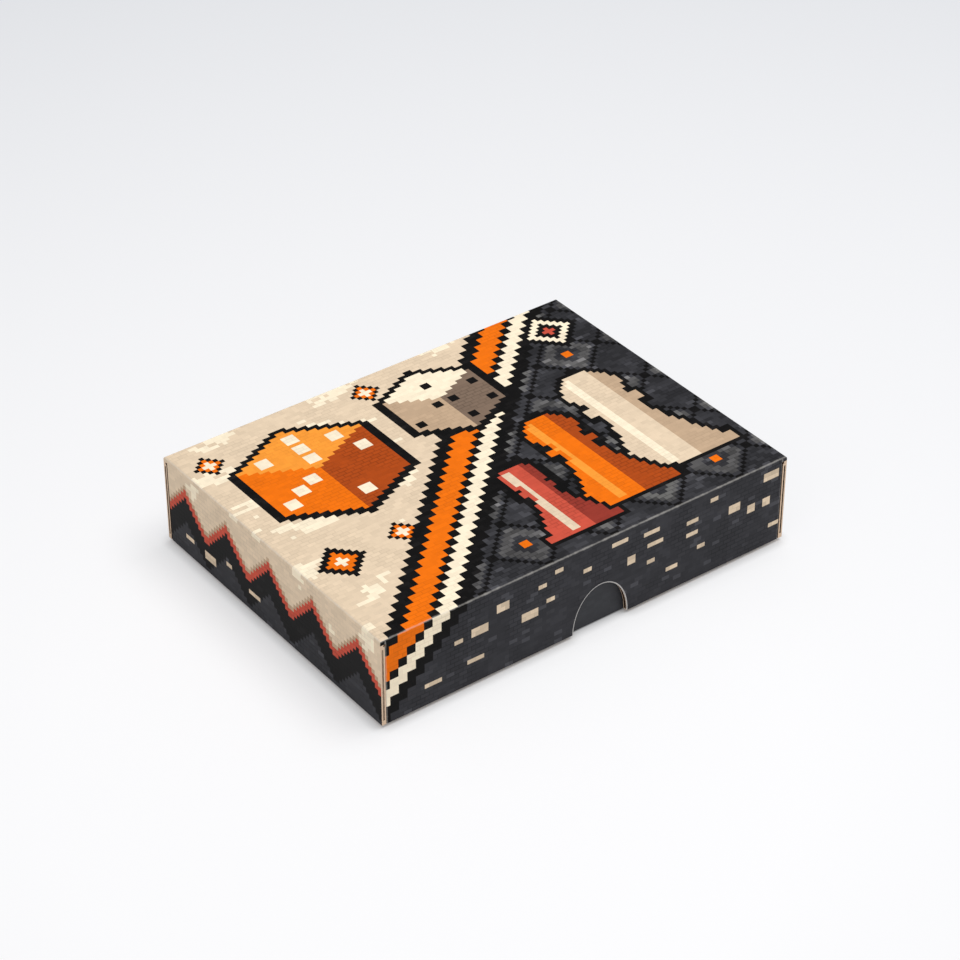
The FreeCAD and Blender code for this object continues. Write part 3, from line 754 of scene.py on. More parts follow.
# %% Pawns on the sheet
# half widths and levels of a pawn, as shares of its height
NECK, NECK_TOP = 0.12, 0.7
SWEEP, SWEEP_START, SWEEP_FALL, SWEEP_BEND = 0.16, 0.58, 0.46, 1.6
COLLAR, COLLAR_LEVEL, COLLAR_HALF = 0.17, 0.62, 0.04
FOOT, FOOT_TOP = 0.33, 0.08
HEAD, HEAD_LEVEL = 0.17, 0.81
SHADOW_START, SHINE_PLACE = 0.07, 0.08
# in cells
PAWN_OUTLINE, SHINE_INSET, SHINE_HALF = 1.4, 0.9, 1.1
# each pawn's middle column, lowest row and height, its ink, its shadow and its shine
SHEET_PAWNS = (
    (84, 11, 39, "sand", "clay", "cream"),
    (68, 8, 34, "orange", "rust", "amber"),
    (53, 5, 26, "coral", "brick", "sand"),
)


def draw_pawn(middle, low, tall, ink, shadow, shine):
    """A pawn with a dark outline, lit from the left."""
    height = (row - low) / tall
    away = np.abs(column - middle) / tall

    def shape(grow):
        sweep = NECK + SWEEP * np.clip((SWEEP_START - height) / SWEEP_FALL, 0, 1) ** SWEEP_BEND
        body = (away < sweep + grow) & (height < NECK_TOP)
        collar = (away < COLLAR + grow) & (np.abs(height - COLLAR_LEVEL) < COLLAR_HALF + grow)
        foot = (away < FOOT + grow) & (height < FOOT_TOP + grow)
        ball = np.hypot(away, height - HEAD_LEVEL) < HEAD + grow
        return (height > -grow) & (body | collar | foot | ball)

    lay(shape(PAWN_OUTLINE / tall), "ink")
    lay(shape(0), ink)
    lay(shape(0) & (column > middle + tall * SHADOW_START), shadow)
    shiny = np.abs(column - middle + tall * SHINE_PLACE) < SHINE_HALF
    lay(shape(-SHINE_INSET / tall) & shiny, shine)


for drawing in SHEET_PAWNS:
    draw_pawn(*drawing)
print(len(SHEET_PAWNS), "pawns drawn")

# %% Lozenges on the sheet
SMALL_INKS = ("ink", "orange", "cream")
LARGE_INKS = ("ink", "cream", "ink", "coral")
# each lozenge's middle column and row, its reach and its inks from the outside in
SHEET_LOZENGES = (
    (8.5, 24.5, 6, SMALL_INKS),
    (23.5, 25.5, 4, SMALL_INKS),
    (45.5, 69.5, 4, SMALL_INKS),
    (5.5, 66.5, 4, SMALL_INKS),
    (90.5, 65.5, 8, LARGE_INKS),
)


def draw_lozenge(middle, centre, reach, inks):
    """Stepped lozenges, one inside the other."""
    away = np.abs(column - middle) + np.abs(row - centre)
    for k, ink in enumerate(inks):
        lay(away < reach * (1 - k / len(inks)), ink)


for drawing in SHEET_LOZENGES:
    draw_lozenge(*drawing)
print(len(SHEET_LOZENGES), "lozenges drawn")

# %% [markdown]
# The mosaic is laid like a wall, in bricks of two cells. No two of them take the ink quite alike, so
# each gets its own tone, strong in the dark inks and faint in the light ones. On the walls, pale
# dashes lie scattered among the dark bricks, each with dark all round it.

# %% Pale dashes on the walls
DASH_TRIES = {"front": 60, "left": 40, "back": 36, "right": 36}
DASH_LENGTHS = (2, 5)
DASH_HEIGHTS = (1, 3)
DASH_FALLS = (2, DROP - 3)
DASH_MARGIN = 2
NOTCH_MARGIN = 2
DARK_LIMIT = 0.12
WALLS = {"front": row < 0, "left": column < 0, "back": row > ROWS, "right": column > COLUMNS}

darkness = sheet.mean(axis=2) < DARK_LIMIT
dashes = np.zeros(column.shape, bool)
from_notch_x = (along - (NOTCH_MIDDLE - LID_LOW.x) / CELL) / (NOTCH_HALF / CELL + NOTCH_MARGIN)
from_notch_z = (DROP - down) / (NOTCH_RISE / CELL + NOTCH_MARGIN)
free = darkness & ~((row < 0) & (np.hypot(from_notch_x, from_notch_z) < 1))


def dash(wall, start, long, fall, tall, margin):
    """The cells of one dash on a wall, with a margin round it."""
    across_dash = (along > start - margin) & (along < start + long + margin)
    return WALLS[wall] & across_dash & (down > fall - margin) & (down < fall + tall + margin)


for wall, tries in DASH_TRIES.items():
    length = ROWS if wall in ("left", "right") else COLUMNS
    for k in range(tries):
        long = rng.integers(*DASH_LENGTHS)
        tall = rng.integers(*DASH_HEIGHTS)
        start = rng.integers(1, length - long)
        fall = rng.integers(*DASH_FALLS)
        ring = dash(wall, start, long, fall, tall, DASH_MARGIN)
        if free[ring].all() and not dashes[ring].any():
            dashes |= dash(wall, start, long, fall, tall, 0)
lay(dashes, "sand")
print("pale cells on the walls:", int(dashes.sum()))

# %% Mottled inks
# each tone is its lowest value and what can be added to it
TOP_TONES = (0.75, 1.7)
WALL_TONES = (1.2, 0.7)
PALE_TONES = (0.94, 0.11)
DASH_TONES = (0.82, 0.25)
BRICK_SHARE = 0.6
BRIGHT_FROM = 0.95
BRIGHTER = 0.8
SPECKLE = 0.05


def toned(tones, share):
    """A tone's lowest value with a share of the rest."""
    return tones[0] + tones[1] * share


bricks = bricks_of()
mottle = BRICK_SHARE * bricks + (1 - BRICK_SHARE) * patches_of(PATCH)
dark_tone = np.where(down < 0, toned(TOP_TONES, mottle**2), toned(WALL_TONES, mottle**2))
dark_ink = darkness & ~dashes
tone = np.where(dark_ink, dark_tone, toned(PALE_TONES, bricks))
tone += np.where(dark_ink & (bricks > BRIGHT_FROM), BRIGHTER, 0.0)
tone = np.where(dashes, toned(DASH_TONES, bricks), tone)
sheet *= (tone + SPECKLE * (rng.random(column.shape) - 0.5))[..., None]
print("tones from", round(float(tone.min()), 2), "to", round(float(tone.max()), 2))

# %% [markdown]
# ## The lid
#
# The lid's board is a sandwich: two flat papers with a wavy one between. Where the board is cut, the
# sandwich shows. The CAD node already has its folds, tabs, raw edges and thumb notch, so the lid
# starts as a copy of it. Round the thumb notch the print is worn off in a thin line: a bevel makes
# that line, and its inner points are moved forward until it lies nearly flat. Insets then open the
# cut behind it between the two liners.

# %% Where the notch lies
NOTCH_LINE = 0.5 * MM
NOTCH_FALL = 0.12 * MM
NOTCH_GROOVE = 1.6 * MM
NOTCH_LINER = 0.3 * MM
SLOPE = 0.03 * MM
LEAST_SHARE = 0.01
EDGE_ON = 0.1
PRINT, EDGE, SHADED_CORE, INSIDE, LINE = range(5)


def past_notch(x, z):
    """How far a place in the front wall lies outside the notch, which is half an ellipse."""
    off_x = (x - NOTCH_MIDDLE) / NOTCH_HALF
    off_z = (z - LID_LOW.z) / NOTCH_RISE
    share = max(math.hypot(off_x, off_z), LEAST_SHARE)
    steepness = math.hypot(off_x / NOTCH_HALF, off_z / NOTCH_RISE) / share
    return (share - 1) / max(steepness, LEAST_SHARE)


def notch_rim(*ends):
    """True for an edge of the notch's outline in the front face."""
    return all(abs(past_notch(end.x, end.z)) < CLOSE and end.y < -REAR + CLOSE for end in ends)


def line_inside(point):
    """True for the bevel's points inside the notch."""
    return abs(past_notch(point.x, point.z)) < CLOSE and abs(point.y + REAR - NOTCH_LINE) < CLOSE


def notch_cut(middle, normal):
    """True for the board's thickness round the notch."""
    in_wall = -REAR + CLOSE < middle.y < -REAR + BOARD - CLOSE
    above_rim = middle.z > LID_LOW.z + CLOSE
    return past_notch(middle.x, middle.z) < CLOSE and in_wall and above_rim and abs(normal.y) < EDGE_ON


print("notch of", round(2 * NOTCH_HALF / MM, 1), "by", round(NOTCH_RISE / MM, 1), "mm")

# %% Bevel and open the notch
lid = whole_copy("lid_board", "lid_printed_board")
pick_edges(lid, notch_rim)
bpy.ops.mesh.bevel(offset=NOTCH_LINE, segments=1, affect="EDGES")
done()
pick_points(lid, line_inside)
bpy.ops.transform.translate(value=(0, NOTCH_FALL - NOTCH_LINE, 0))
done()
pick(lid, notch_cut)
bpy.ops.mesh.inset(thickness=NOTCH_LINER, depth=0.0)
bpy.ops.mesh.inset(thickness=SLOPE, depth=-NOTCH_GROOVE)
bpy.ops.mesh.select_more(use_face_step=False)
done()
groove = [face for face in lid.data.polygons if face.select]
for face in groove:
    # the groove takes the very dark core finish, a painted shade for the recess
    face.material_index = SHADED_CORE
print("notch groove:", len(groove), "faces")

# %% [markdown]
# The outer faces are then cut along the print's grid, so that every cell of the print is a face of
# its own, with a colour of its own.

# %% Cut the outer faces into cells
FOLD = 1.0 * MM
# how far a face's normal points along an axis, of 1 at most
MOSTLY = 0.5
SLIGHTLY = 0.05


def outward(middle, normal):
    """How far a face looks away from the box's middle along X, from -1 to 1."""
    return normal.x if middle.x > 0 else -normal.x


def outer(middle, normal):
    """True for a face of the lid's outer skin."""
    top_or_back = middle.z > UNDERSIDE + CLOSE or (middle.y > REAR - CLOSE and normal.y > MOSTLY)
    side = abs(middle.x) > SIDE - FOLD and outward(middle, normal) > MOSTLY
    front = middle.y < -REAR + FOLD and normal.y < -SLIGHTLY
    return top_or_back or side or front


def cut_lines():
    """Every line of the print's grid, as a point on the cut and the cut's normal."""
    for k in range(1, COLUMNS):
        yield Vector((LID_LOW.x + k * CELL, 0, 0)), Vector((1, 0, 0))
    for k in range(1, ROWS):
        yield Vector((0, LID_LOW.y + k * CELL, 0)), Vector((0, 1, 0))
    for k in range(1, DROP):
        yield Vector((0, 0, LID_HIGH.z - k * CELL)), Vector((0, 0, 1))


cut_faces(lid, outer, cut_lines())
print("lid cut into", len(lid.data.polygons), "faces")

# %% [markdown]
# Now each face can be told by its place alone: printed skin, light cut edge, the gap between the
# liners painted dark as shade, brown inside, or the worn line round the notch. Only the notch's
# groove has been marked already.

# %% Which face of the lid is what
LINE_SHARE = 0.9


def lid_part(middle, normal):
    """The finish of one face of the lid, by its place and the way it faces."""
    x, y, z = abs(middle.x), middle.y, middle.z
    if z < LID_LOW.z + CLOSE or notch_cut(middle, normal):
        return EDGE
    if y < -REAR + NOTCH_FALL and past_notch(middle.x, z) < LINE_SHARE * NOTCH_LINE:
        return LINE
    if z > UNDERSIDE + CLOSE or (y > REAR - CLOSE and normal.y > MOSTLY):
        return PRINT
    if y < REAR - BOARD + CLOSE and x > SIDE - FOLD and outward(middle, normal) > MOSTLY:
        return PRINT
    if y < -REAR + FOLD and x < SIDE - BOARD + CLOSE and normal.y < -SLIGHTLY:
        return PRINT
    front_edge = x > SIDE - BOARD - CLOSE and y < -REAR + CORE_DEPTH + CLOSE
    rear_edge = y > REAR - BOARD - CLOSE and x > SIDE - CORE_DEPTH - CLOSE
    if front_edge or rear_edge:
        return EDGE if y < -REAR + CLOSE or x > SIDE - CLOSE else SHADED_CORE
    return INSIDE


for face in lid.data.polygons:
    if face.material_index != SHADED_CORE:
        face.material_index = lid_part(face.center, face.normal)
counts = np.bincount([face.material_index for face in lid.data.polygons])
print("faces of print, edge, core, inside and line:", counts)

# %% [markdown]
# Each printed face looks up its cell on the flat sheet. A face on a wall is found by unfolding the
# wall: its distance below the top goes on from the edge of the top. The colours are kept in a
# colour attribute of the mesh, which the material reads.

# %% Colour the cells
LYING = 0.7


def unfold(middle, normal):
    """The place of a printed face on the flat sheet, in cells."""
    along_x = (middle.x - LID_LOW.x) / CELL
    along_y = (middle.y - LID_LOW.y) / CELL
    fallen = (LID_HIGH.z - middle.z) / CELL
    if normal.z > LYING:
        return along_x, along_y
    if abs(normal.x) > abs(normal.y):
        return (-fallen if middle.x < 0 else COLUMNS + fallen), along_y
    return along_x, (-fallen if middle.y < 0 else ROWS + fallen)


layer = lid.data.color_attributes.new("print", "FLOAT_COLOR", "CORNER")
for face in lid.data.polygons:
    if face.material_index == PRINT:
        place = [math.floor(cell) + DROP for cell in unfold(face.center, face.normal)]
        i, j = (min(max(cell, 0), limit - 1) for cell, limit in zip(place, column.shape))
        for corner in face.loop_indices:
            layer.data[corner].color = (*sheet[i, j], 1.0)
print("coloured corners:", len(layer.data))

# %% [markdown]
# ## Printed paper
#
# The print is offset ink under a thin satin varnish. Close up, the paper's grain shows in it, the
# joints between the bricks come and go, plainer in the dark inks, and every fold is painted pale:
# partly where the ink has cracked and worn, partly a painted highlight where light would catch the
# round of the fold. The fold is found from the place alone: there, two of the three distances to
# the box's outer faces are small at once.

# %% Fold wear with a painted highlight, and brick joints
# in millimetres
JOINT = 0.32
FRONT_FOLD = 0.35
FRONT_FOLD_RISE = 0.3
WEAR_AND_HIGHLIGHT_RAGGED = 0.7
WEAR_AND_HIGHLIGHT_REACH = (0.45, 1.25)


def fold_wear_and_highlight(finish, x, y, z):
    """1 on the lid's folds, where the ink is worn and a highlight is painted, and 0 away from them,
    broken up a little.
    """
    from_side = SIDE / MM - abs(x)
    from_back = REAR / MM - abs(y)
    from_top = LID_HIGH.z / MM - z
    top_folds = from_side.least(from_back).most(from_top)
    front_folds = abs(from_side - BOARD / MM - FRONT_FOLD).most(y + REAR / MM) + FRONT_FOLD_RISE
    ragged = finish.noise(2.5, detail=4.0) * WEAR_AND_HIGHLIGHT_RAGGED
    return 1 - (top_folds.least(front_folds) + ragged).fade(*WEAR_AND_HIGHLIGHT_REACH)


def joints(finish, x, y, z):
    """1 on the joints of the print's bricks, two cells long and shifted by a cell in every other row."""
    cell = CELL / MM
    on_top = finish.facing(2) > MOSTLY
    on_side = abs(finish.facing(0)) > MOSTLY
    from_front = y - LID_LOW.y / MM
    from_top = LID_HIGH.z / MM - z
    rows = on_top * from_front + (1 - on_top) * from_top
    places = on_side * from_front + (1 - on_side) * (x - LID_LOW.x / MM)
    shifted = places + (rows / cell).floor() % 2.0 * cell
    between_rows = abs(rows % cell - cell / 2) + cell / 2
    between_bricks = abs(shifted % (2 * cell) - cell)
    return between_rows.most(between_bricks).fade(cell - JOINT, cell - JOINT / 3)


print("joints of", JOINT, "mm")


# %% Printed paper
# the pale of the folds: worn ink and a painted highlight in one colour
WORN_AND_HIGHLIT_INK = linear(236, 231, 223)
WEAR_AND_HIGHLIGHT = 0.38
JOINT_DARK = 0.36
JOINT_PALE = 0.1


def printed_paper(name):
    finish = Finish(name)
    x, y, z = finish.xyz()
    ink = finish.node("Attribute", {"attribute_name": "print"}, {}, "Color")
    grain = finish.noise(0.5, detail=6.0)
    cloud = finish.noise(9.0, detail=3.0)
    broken = joints(finish, x, y, z) * finish.noise(16.0, detail=4.0).fade(0.4, 0.6)
    pale = finish.node("RGBToBW", {}, {0: ink}).fade(0.03, 0.4)
    gap = broken * (JOINT_DARK - (JOINT_DARK - JOINT_PALE) * pale)
    amount = 0.93 + 0.1 * grain + 0.07 * cloud - gap
    coloured = finish.shade(ink, amount)
    # the folds are painted pale: partly worn ink, partly a painted highlight along the round of the fold
    worn_and_highlit = fold_wear_and_highlight(finish, x, y, z)
    finish.set(
        Base_Color=finish.mix(worn_and_highlit * WEAR_AND_HIGHLIGHT, coloured, WORN_AND_HIGHLIT_INK),
        Roughness=0.46 + 0.14 * grain + 0.12 * worn_and_highlit,
        Specular_IOR_Level=0.06,
        Normal=finish.bump(grain * 0.5 - broken, 0.02),
    )
    return finish.material


lid_print = printed_paper("lid_print")
print("nodes in the lid's print:", len(lid_print.node_tree.nodes))

# %% [markdown]
# ## Brown board
#
# Inside, and wherever the board is cut, the paper is plain brown. It is pressed from long fibres, so
# its colour is a felt of light and dark streaks in all directions with a few specks.

# %% Brown paper
def kraft_paper(name, colour, contrast=0.22):
    finish = Finish(name)
    felt = None
    for stretch in ((6, 1, 1), (1, 6, 1), (1, 1, 6)):
        streak = finish.noise(0.35, stretch, detail=3.0)
        felt = streak if felt is None else felt + streak
    cloud = finish.noise(14.0, detail=2.0)
    specks = finish.noise(0.8, detail=0.0).fade(0.74, 0.8)
    amount = 1 - contrast * 1.5 + contrast * 0.8 * felt + contrast * 0.6 * cloud - 0.3 * specks
    finish.set(
        Base_Color=finish.shade(colour, amount),
        Roughness=0.88,
        Specular_IOR_Level=0.2,
        Normal=finish.bump(felt / 3, 0.03),
    )
    return finish.material


edge_paper = kraft_paper("liner_edge", linear(226, 198, 170), 0.12)
# the gap between the liners is painted very dark brown: a painted shade for the recess, darker than the
# paper is
core_painted_shade = kraft_paper("core_gap_painted_shade", linear(68, 47, 35))
flute_paper = kraft_paper("core_flutes", linear(222, 192, 162), 0.14)
inside_paper = kraft_paper("liner_inside", linear(196, 160, 122))
worn_paper = kraft_paper("notch_line", linear(188, 185, 182), 0.1)
for material in (lid_print, edge_paper, core_painted_shade, inside_paper, worn_paper):
    lid.data.materials.append(material)
smoothed(lid)
stand_for(lid, "lid", "lid_print", "lid_board")

# %% [markdown]
# ## The wavy core
#
# Between the liners runs a wavy paper. It shows at the four raw upright edges of the lid and along
# the tray's front and back rims. A flat grid is bent into a sine by moving its points, Solidify
# gives it its paper thickness, and copies are turned into each edge. The wave lies against the inner
# liner, because the cutting blade pressed it there.

# %% Flutes of the lid
FLUTE_PITCH = 3.2 * MM
FLUTE_PAPER = 0.2 * MM
FLUTE_STEPS = 10
LID_WAVE = 0.06 * MM
LID_LEAN = 0.19 * MM
LID_SETBACK = 0.25 * MM


def flute_ribbon(length, reach, lean, deep, setback):
    """A wavy ribbon along Z, which swings in X and goes in along Y."""
    waves = length / FLUTE_PITCH
    bpy.ops.mesh.primitive_grid_add(x_subdivisions=int(waves * FLUTE_STEPS), y_subdivisions=1, size=1)
    ribbon = bpy.context.object
    for point in ribbon.data.vertices:
        along_ribbon, inward = point.co.x, point.co.y + 0.5
        swing = reach * math.sin(2 * math.pi * along_ribbon * waves)
        point.co = (lean + swing, setback + inward * (deep - setback), along_ribbon * length)
    apply(ribbon, "SOLIDIFY", thickness=FLUTE_PAPER, offset=0.0)
    return ribbon


def set_in(piece, origin, swing, inward):
    """Turn a ribbon so that it swings and goes in along the given axes, and move it."""
    swing, inward = Vector(swing), Vector(inward)
    turn = Matrix((swing, inward, swing.cross(inward))).transposed().to_4x4()
    settle(piece, Matrix.Translation(origin) @ turn)


half_board = BOARD / 2
level = (LID_LOW.z + UNDERSIDE) / 2
RAW_EDGES = (
    ((-SIDE + half_board, -REAR, level), (1, 0, 0), (0, 1, 0)),
    ((SIDE - half_board, -REAR, level), (-1, 0, 0), (0, 1, 0)),
    ((-SIDE, REAR - half_board, level), (0, -1, 0), (1, 0, 0)),
    ((SIDE, REAR - half_board, level), (0, -1, 0), (-1, 0, 0)),
)
raw_length = UNDERSIDE - LID_LOW.z - 2 * EDGE_MARGIN - FLUTE_PAPER
ribbons = []
for origin, swing, inward in RAW_EDGES:
    ribbon = flute_ribbon(raw_length, LID_WAVE, LID_LEAN, CORE_DEPTH, LID_SETBACK)
    set_in(ribbon, origin, swing, inward)
    ribbons.append(ribbon)
lid_flutes = joined(ribbons, "lid_flutes")
lid_flutes.data.materials.append(flute_paper)
smoothed(lid_flutes)
stand_for(lid_flutes, "lid", "kraft_core", "lid_fluting")

# %% [markdown]
# ## The tray
#
# The tray is folded like the lid, open at the top. Its print is plain charcoal with two thin lines
# below the rim, because only a glimpse of it shows through the notch. The rim is a cut edge all
# round, so it gets the same light liners with a gap between them, painted dark as shade. The rim is
# cut along the liners first and each wall's gap is then sunk by itself, because an inset of one face
# that runs round the whole tray doesn't fill cleanly.

# %% Open the tray's rim
RIM_GROOVE = 1.0 * MM
TAB_TRIM = 3.2 * MM
LOOKS_UP = 0.9

base = whole_copy("base_board", "base_printed_board")


def rim_top(middle, normal):
    """True for the cut edges that look up: the rim and the tops of the tabs."""
    return normal.z > LOOKS_UP and middle.z > BASE_HIGH.z - TAB_TRIM


def rim_lines():
    """Every line that a liner draws on the rim, as a point on the cut and the cut's normal."""
    for inward in (LINER, BOARD - LINER, BOARD + LINER):
        for side in (-1, 1):
            yield Vector((side * (BASE_HIGH.x - inward), 0, 0)), Vector((1, 0, 0))
        yield Vector((0, BASE_LOW.y + inward, 0)), Vector((0, 1, 0))
        yield Vector((0, BASE_HIGH.y - inward, 0)), Vector((0, 1, 0))


def rim_gap(middle, normal):
    """True between the liners of one wall's rim, short of its ends."""
    off_side = BASE_HIGH.x - abs(middle.x)
    off_front = middle.y - BASE_LOW.y
    off_back = BASE_HIGH.y - middle.y
    side_gap = LINER < off_side < BOARD - LINER and off_front > LINER and off_back > BOARD + LINER
    front_gap = LINER < off_front < BOARD - LINER and off_side > BOARD + LINER
    back_gap = LINER < off_back < BOARD - LINER and off_side > LINER
    return rim_top(middle, normal) and (side_gap or front_gap or back_gap)


cut_faces(base, rim_top, rim_lines())
pick(base, rim_gap)
bpy.ops.mesh.inset(thickness=SLOPE, depth=-RIM_GROOVE)
bpy.ops.mesh.select_more(use_face_step=False)
done()
print("rim cut into", len(base.data.polygons), "faces")


# %% Which face of the tray is what
def tray_part(middle, normal):
    """The finish of one face of the tray, by its place and the way it faces."""
    if rim_top(middle, normal):
        return EDGE
    off_side = BASE_HIGH.x - abs(middle.x)
    flank = off_side < FOLD and outward(middle, normal) > MOSTLY
    front = middle.y < BASE_LOW.y + FOLD and normal.y < -SLIGHTLY
    rear = middle.y > BASE_HIGH.y - CLOSE and normal.y > MOSTLY
    if not (flank or front or rear or middle.z < BOARD - CLOSE):
        return INSIDE
    raw_front = off_side < BOARD - CLOSE and middle.y < BASE_LOW.y + CLOSE and middle.z > BOARD
    return EDGE if raw_front and not flank else PRINT


for face in base.data.polygons:
    # the sunk gaps take the very dark core finish, a painted shade for the recess
    face.material_index = SHADED_CORE if face.select else tray_part(face.center, face.normal)
counts = np.bincount([face.material_index for face in base.data.polygons])
print("tray faces of print, edge, core and inside:", counts)


# %% Charcoal print
ORANGE_INK = INKS["orange"]
PALE_INK = linear(240, 226, 200)
# levels and widths in millimetres
ORANGE_LINE = (30.0, 0.9)
PALE_LINE = (32.0, 0.5)
TRAY_BRICK = (4.0, 4.0, 2.0)


def charcoal_print(name):
    finish = Finish(name)
    z = finish.xyz()[2]
    bricks = finish.blocks(TRAY_BRICK)
    grain = finish.noise(0.5, detail=6.0)
    amount = 0.86 + 0.2 * bricks + 0.14 * grain
    ground = finish.shade(linear(52, 53, 57), amount)
    lined = finish.mix(z.line(*ORANGE_LINE), ground, ORANGE_INK)
    lined = finish.mix(z.line(*PALE_LINE), lined, PALE_INK)
    finish.set(
        Base_Color=lined,
        Roughness=0.48 + 0.14 * grain,
        Specular_IOR_Level=0.22,
        Normal=finish.bump(grain, 0.02),
    )
    return finish.material


for material in (charcoal_print("base_print"), edge_paper, core_painted_shade, inside_paper):
    base.data.materials.append(material)
smoothed(base)
stand_for(base, "base", "base_print", "base_board")

# %% Flutes of the tray
RIM_WAVE = 0.2 * MM
RIM_SETBACK = 0.2 * MM

rim_length = BASE_HIGH.x - BASE_LOW.x - 2 * BOARD - 2 * LINER
ribbons = []
for middle_y in (BASE_LOW.y + half_board, BASE_HIGH.y - half_board):
    ribbon = flute_ribbon(rim_length, RIM_WAVE, 0.0, RIM_GROOVE, RIM_SETBACK)
    set_in(ribbon, (0, middle_y, BASE_HIGH.z), (0, 1, 0), (0, 0, -1))
    ribbons.append(ribbon)
base_flutes = joined(ribbons, "base_rim_flutes")
base_flutes.data.materials.append(flute_paper)
smoothed(base_flutes)
stand_for(base_flutes, "base", "kraft_core")

# %% [markdown]
# ## The card insert
#
# The insert and its dividers are folded from thin brown card, and their CAD shapes already have the
# bends, slots and finger cut. They only need their finish, a tone lighter than the board.

# %% Insert card
insert_card = kraft_paper("insert_card", linear(205, 172, 134), 0.26)
dress(insert_card, "insert_tray", "insert_cross_divider", "insert_short_divider")

# %% [markdown]
# ## The game board
#
# The game board lies folded, so its back shows: dark linen-grained paper with a printed frame and
# lozenges, and a strip of book cloth over the hinge. A copy of each half gets slightly rounded
# edges, as wrapped greyboard has. The linen is two sets of threads that pass over and under each
# other, worked out from the place.

# %% Weave, frame and lozenges
def weave(x, y, pitch):
    """The height of a plain weave, from 0 to 1."""
    along_x, along_y = x / pitch, y / pitch
    over = (along_x.floor() + along_y.floor()) % 2.0
    round_x = 1 - abs(along_x % 1.0 - 0.5) * 2
    round_y = 1 - abs(along_y % 1.0 - 0.5) * 2
    return over * round_x + (1 - over) * round_y


def frame_edge(x, y, half_x, half_y):
    """How far a place lies inside a frame of the given half sizes."""
    return (half_x - abs(x)).least(half_y - abs(y))


def lattice(x, y, step):
    """How far a place lies from the middle of its lozenge, from 0 to 1 at the lozenge's edge."""
    off_x = abs(x % step - step / 2)
    off_y = abs(y % step - step / 2)
    return (off_x + off_y) / (step / 2)


print("patterns for boards, cards and covers: weave, frame and lattice")


# %% Linen print
# in millimetres: places measured in from the edge, and widths
LINEN_PITCH = 0.45
PANEL_STEP = 14.0
PANEL_FIELD = 11.0
PANEL_FRAME = (8.0, 1.4)
PANEL_HAIRLINE = (9.8, 0.5)
# shares of a lozenge
PANEL_RING = (1.0, 0.09)
PANEL_DOT = 0.16


def linen_print(name, low, high):
    finish = Finish(name)
    half = (high - low) / 2 / MM
    x, y = finish.xyz((low + high) / 2)[:2]
    threads = weave(x, y, LINEN_PITCH)
    uneven = finish.noise(0.8, detail=4.0)
    inside = frame_edge(x, y, half.x, half.y)
    rings = lattice(x + PANEL_STEP / 2, y + PANEL_STEP / 2, PANEL_STEP)
    lines = rings.line(*PANEL_RING)
    dots = rings < PANEL_DOT
    field = inside > PANEL_FIELD
    ground = finish.shade(linear(58, 58, 62), 0.78 + 0.3 * uneven + 0.12 * threads)
    coloured = finish.mix(lines * field, ground, linear(112, 110, 108))
    coloured = finish.mix(dots * field, coloured, ORANGE_INK)
    coloured = finish.mix(inside.line(*PANEL_FRAME), coloured, ORANGE_INK)
    coloured = finish.mix(inside.line(*PANEL_HAIRLINE), coloured, PALE_INK)
    rubbed = 1 - inside.fade(0.1, 0.9)
    finish.set(
        Base_Color=finish.mix(rubbed * uneven * 0.5, coloured, linear(168, 158, 146)),
        Roughness=0.5 + 0.12 * uneven,
        Specular_IOR_Level=0.25,
        Normal=finish.bump(threads + uneven * 0.4, 0.05),
    )
    return finish.material


print("linen thread every", LINEN_PITCH, "mm")

# %% Game board halves and cloth
PANEL_EDGE = 0.25 * MM
CLOTH_EDGE = 0.1 * MM
CLOTH_PITCH = 0.7


def hinge_cloth(name):
    finish = Finish(name)
    x, y, z = finish.xyz()
    threads = weave(x + z, y, CLOTH_PITCH)
    uneven = finish.noise(1.2, (1, 5, 1), detail=4.0)
    amount = 0.62 + 0.34 * threads + 0.3 * uneven
    finish.set(
        Base_Color=finish.shade(linear(44, 43, 45), amount),
        Roughness=0.82,
        Sheen_Weight=0.25,
        Specular_IOR_Level=0.2,
        Normal=finish.bump(threads + uneven * 0.5, 0.12),
    )
    return finish.material


panel_low, panel_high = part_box("game_board_upper")
panel_print = linen_print("game_panel", panel_low, panel_high)
for level_name in ("lower", "upper"):
    node = f"game_board_{level_name}"
    panel = soft_copy(node, f"{node}_panel", PANEL_EDGE)
    panel.data.materials.append(panel_print)
    stand_for(panel, "base", "game_panel", node)
spine = soft_copy("game_board_spine", "game_board_cloth", CLOTH_EDGE)
spine.data.materials.append(hinge_cloth("hinge_cloth"))
stand_for(spine, "base", "hinge_cloth", "game_board_spine")

# %% [markdown]
# ## The rules booklet
#
# A booklet is one folded cover round a few leaves. Paper never lies quite flat: the fold is a small
# round and the free corner lifts. Each sheet is a flat grid whose points are moved onto that curve,
# and Solidify gives it its thickness.

# %% Booklet cover
RULES_LOW, RULES_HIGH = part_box("rules_cover")
COVER = 0.22 * MM
COVER_GRID = (60, 16)
FLAT_SHARE = 0.8
LIFT = 1.5 * MM
LIFT_BEND = 3
LIFT_FADE = 0.75
spine_round = (RULES_HIGH.z - RULES_LOW.z) / 2
spine_middle = (RULES_LOW.z + RULES_HIGH.z) / 2
sheet_width = RULES_HIGH.x - RULES_LOW.x - spine_round
sheet_length = RULES_HIGH.y - RULES_LOW.y


def corner_lift(out, back_share):
    """How far a sheet lifts, from its share of the width and of the length."""
    return LIFT * out**LIFT_BEND * (1 - LIFT_FADE * back_share)


